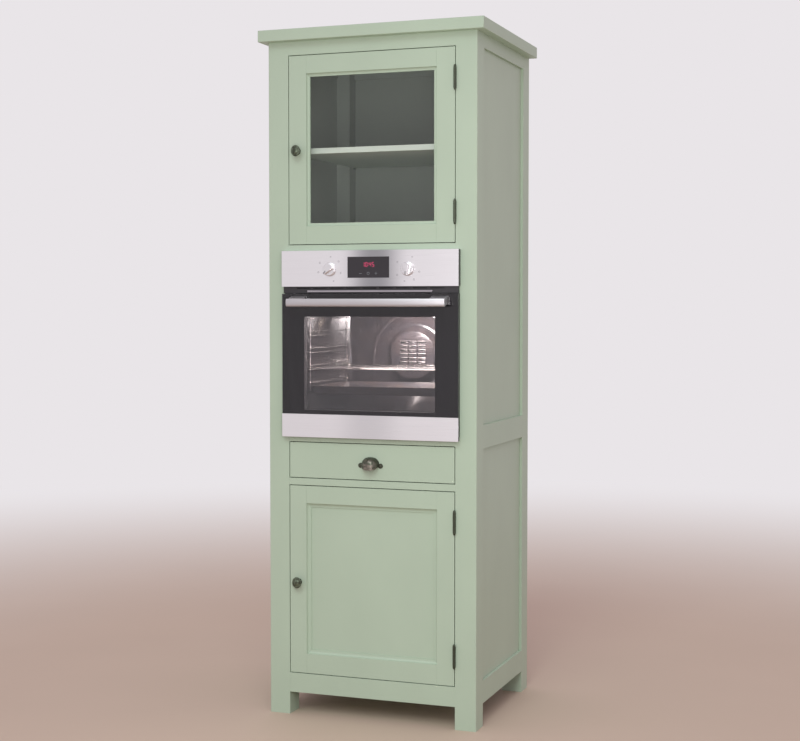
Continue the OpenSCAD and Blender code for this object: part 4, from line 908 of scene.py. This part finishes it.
class CABINET_OT_oven_door(bpy.types.Operator):
    """Finishes the oven door: glasses, carrier, foot strip and handle"""

    bl_idname = "cabinet.oven_door"
    bl_label = "Oven door"

    def execute(self, context):
        edge = context.scene.cabinet.metal_edge
        dress("oven_outer_glass", float_glass("smoked_float_glass", "#d3d0d4", 1.52, 0.04))
        dress("oven_inner_glass", float_glass("heat_coated_glass", "#f2f0f0", 1.4, 0.03))
        # Stoved enamel behind the glass: even, nearly black
        dress("oven_door_carrier", patterned(
            "stoved_black_enamel", "#29272a", "#333134", (0.35, 0.45), (40, 40, 40), 0.0
        ), edge)
        dress("oven_door_strip", brushed_stainless_painted_reflection("brushed_stainless_strip", 0, 150, 0.2), edge)
        # Satin anodised aluminium: very fine lines along the bar, drawn at 0.7 mm so that they show
        aluminium = patterned(
            "satin_anodised_aluminium", "#bcb8bb", "#d0cdcf", (0.34, 0.44), (60, 0.7, 0.7), Metallic=1.0
        )
        low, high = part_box("handle_bar")
        make_piece(
            "handle_bar_drawn", lambda bm: self.bar(bm, low / MM, high / MM), "oven_door",
            aluminium, ("handle_bar",),
        )
        dress("handle_brackets", aluminium, 1.2 * MM, 3)
        return {"FINISHED"}

    @staticmethod
    def bar(bm, low, high):
        """Adds the drawn bar: a front bowed over its height, round long edges and eased ends."""
        # Radii of the bow and of the long edges in front and behind
        bow, front, back = 34.0, 3.0, 2.0
        half = (high.z - low.z) / 2
        turn = math.asin((half - front) / (bow - front))
        y, tilt = low.y + bow - (bow - front) * math.cos(turn), math.degrees(turn)
        section = [
            *arc((low.y + bow, 0), bow, 180 - tilt, 180 + tilt, 12),
            *arc((y, front - half), front, 180 + tilt, 270, 5)[1:],
            *arc((high.y - back, back - half), back, 270, 360, 4),
            *arc((high.y - back, half - back), back, 0, 90, 4),
            *arc((y, half - front), front, 90, 180 - tilt, 5)[:-1],
        ]
        verts = [bm.verts.new((low.x, y, low.z + half + z)) for y, z in section]
        edges = [bm.edges.new(pair) for pair in zip(verts, verts[1:] + verts[:1])]
        far = verts_of(bmesh.ops.extrude_edge_only(bm, edges=edges)["geom"])
        bmesh.ops.translate(bm, vec=(high.x - low.x, 0, 0), verts=far)
        ends = bmesh.ops.holes_fill(bm, edges=bm.edges, sides=0)["faces"]
        ease(bm, {e for face in ends for e in face.edges}, 1.8, 3)


class CABINET_OT_cavity(bpy.types.Operator):
    """Finishes the oven's inside: liner, pressings, racks, tray, fan and lamp"""

    bl_idname = "cabinet.cavity"
    bl_label = "Oven inside"

    def execute(self, context):
        edge = context.scene.cabinet.metal_edge
        grey = vitreous_enamel("grey_vitreous_enamel", "#242225", "#7d797c", 0.16, 0.12)
        dark = vitreous_enamel("dark_vitreous_enamel", "#3c3a3e", "#77727a", 0.2, 0.5)
        # Polished wire: a sharp gloss with cloudy spots every 20 mm
        chrome = patterned(
            "bright_chrome_wire", "#e2deda", "#f4f1ee", (0.07, 0.15), (20, 20, 20), 0.0, Metallic=1.0
        )
        # Thin pressed sheet, brighter and duller in patches 14 mm wide
        pressed = patterned(
            "pressed_aluminised_steel", "#b5b2b1", "#dcd9d8", (0.22, 0.4), (14, 14, 14), 0.02,
            Metallic=1.0,
        )
        # Tube burnt to a dull brown grey
        burnt = patterned(
            "oxidised_heater_tube", "#55504b", "#857e77", (0.35, 0.6), (9, 9, 9), 0.05, Metallic=0.9
        )
        dress("oven_liner", grey)
        # Soft moulded rubber with a fine dull grit
        dress("oven_seal", patterned(
            "silicone_seal", "#545150", "#6a6766", (0.6, 0.8), (1.5, 1.5, 1.5), 0.1
        ), 0.6 * MM)
        dress("side_ladders", chrome)
        dress("wire_shelf", chrome)
        dress("baking_tray", dark, edge)
        dress("grill_element", burnt)
        dress("fan_cover", grey, 0.4 * MM)
        dress("fan_wheel", pressed, 0.15 * MM)
        # Pressed lamp glass, lit from within and a little uneven
        dress("oven_lamp", patterned(
            "lamp_glass", "#b9ab97", "#e9dcc6", (0.12, 0.3), (5, 5, 5), 0.6,
            Emission_Color=srgb("#fff1d6"), Emission_Strength=0.12,
        ), 0.3 * MM)
        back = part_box("fan_cover")[1].y / MM
        make_piece(
            "back_wall_pressing", lambda bm: self.pressing(bm, back), "cabinet", grey
        )
        make_piece(
            "fan_cover_louvres", lambda bm: self.louvres(bm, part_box("fan_cover")[0].y / MM),
            "cabinet", pressed,
        )
        # The oven's own light: a broad glow from the roof, and a gleam on the back wall
        lamp("cavity_glow", "AREA", (0.02, -0.1, 1.318), (0.02, -0.1, 1.0), 0.3, 5.6, "#fff4ec")
        lamp("cavity_gleam", "AREA", (0.04, 0.02, 1.27), (0.02, 0.16, 1.19), 0.12, 5.0, "#fff9f4")
        return {"FINISHED"}

    @staticmethod
    def pressing(bm, back):
        """Adds the raised arch of the back wall: a half-round rib with two legs."""
        # Height of the arch's middle, its radius, the length of its legs, and the rib's depth and widening
        top, span, leg, rib, widening = 1148.0, 152.0, 150.0, 4.5, 1.6
        ring = bmesh.ops.create_circle(
            bm, segments=12, radius=rib,
            matrix=Matrix.Translation((span, back, top)) @ Matrix.Diagonal((widening, 1, 1, 1)),
        )["verts"]
        edges = list({e for v in ring for e in v.link_edges})
        low = verts_of(bmesh.ops.extrude_edge_only(bm, edges=edges)["geom"])
        bmesh.ops.translate(bm, vec=(0, 0, -leg), verts=low)
        spun = bmesh.ops.spin(
            bm, geom=ring + edges, cent=(0, back, top), axis=(0, -1, 0), dvec=(0, 0, 0),
            angle=math.pi, steps=40, use_merge=False, use_duplicate=False,
        )["geom_last"]
        end = bmesh.ops.extrude_edge_only(
            bm, edges=[g for g in spun if isinstance(g, bmesh.types.BMEdge)]
        )["geom"]
        bmesh.ops.translate(bm, vec=(0, 0, -leg), verts=verts_of(end))
        bmesh.ops.holes_fill(bm, edges=[e for e in bm.edges if e.is_boundary], sides=0)

    @staticmethod
    def louvres(bm, front):
        """Adds a bent lip over each slot of the fan cover."""
        # Distances of the slots across and down, half a lip's width, and how far it is bent
        across, down, half = 32, 14, 13
        bent = Matrix.Rotation(math.radians(-38), 4, "X")
        z0 = centre("fan_cover").z + 2
        for column in (-1, 0, 1):
            for row in range(-3, 4):
                x, z = column * across, z0 + row * down
                block(bm, (x - half, front - 4.4, z + 1.6), (x + half, front + 1.6, z + 2.8), 0.3, bent)


STEPS = (
    CABINET_OT_stage, CABINET_OT_body, CABINET_OT_doors, CABINET_OT_drawer_box,
    CABINET_OT_bronze_fittings, CABINET_OT_oven_housing, CABINET_OT_control_panel,
    CABINET_OT_oven_knobs, CABINET_OT_oven_door, CABINET_OT_cavity,
)


class VIEW3D_PT_cabinet(bpy.types.Panel):
    """Lists the cabinet's settings and steps"""

    bl_idname = "VIEW3D_PT_cabinet"
    bl_label = "Tall oven cabinet"
    bl_space_type = "VIEW_3D"
    bl_region_type = "UI"
    bl_category = "Cabinet"

    def draw(self, context):
        for group in (context.scene.cabinet, context.scene.cabinet_stage):
            for key in group.bl_rna.properties.keys():
                if key not in ("rna_type", "name"):
                    self.layout.prop(group, key)
        for step in STEPS:
            self.layout.operator(step.bl_idname)


CLASSES = (CabinetFinish, CabinetStage, *STEPS, VIEW3D_PT_cabinet)


def register():
    """Registers the settings, steps and panel."""
    for cls in CLASSES:
        bpy.utils.register_class(cls)
    bpy.types.Scene.cabinet = PointerProperty(type=CabinetFinish)
    bpy.types.Scene.cabinet_stage = PointerProperty(type=CabinetStage)


def unregister():
    """Takes them away again."""
    del bpy.types.Scene.cabinet_stage
    del bpy.types.Scene.cabinet
    for cls in reversed(CLASSES):
        bpy.utils.unregister_class(cls)


def main():
    """Dresses the cabinet step by step."""
    register()
    for step in STEPS:
        group, name = step.bl_idname.split(".")
        getattr(getattr(bpy.ops, group), name)()


if __name__ == "__main__":
    main()
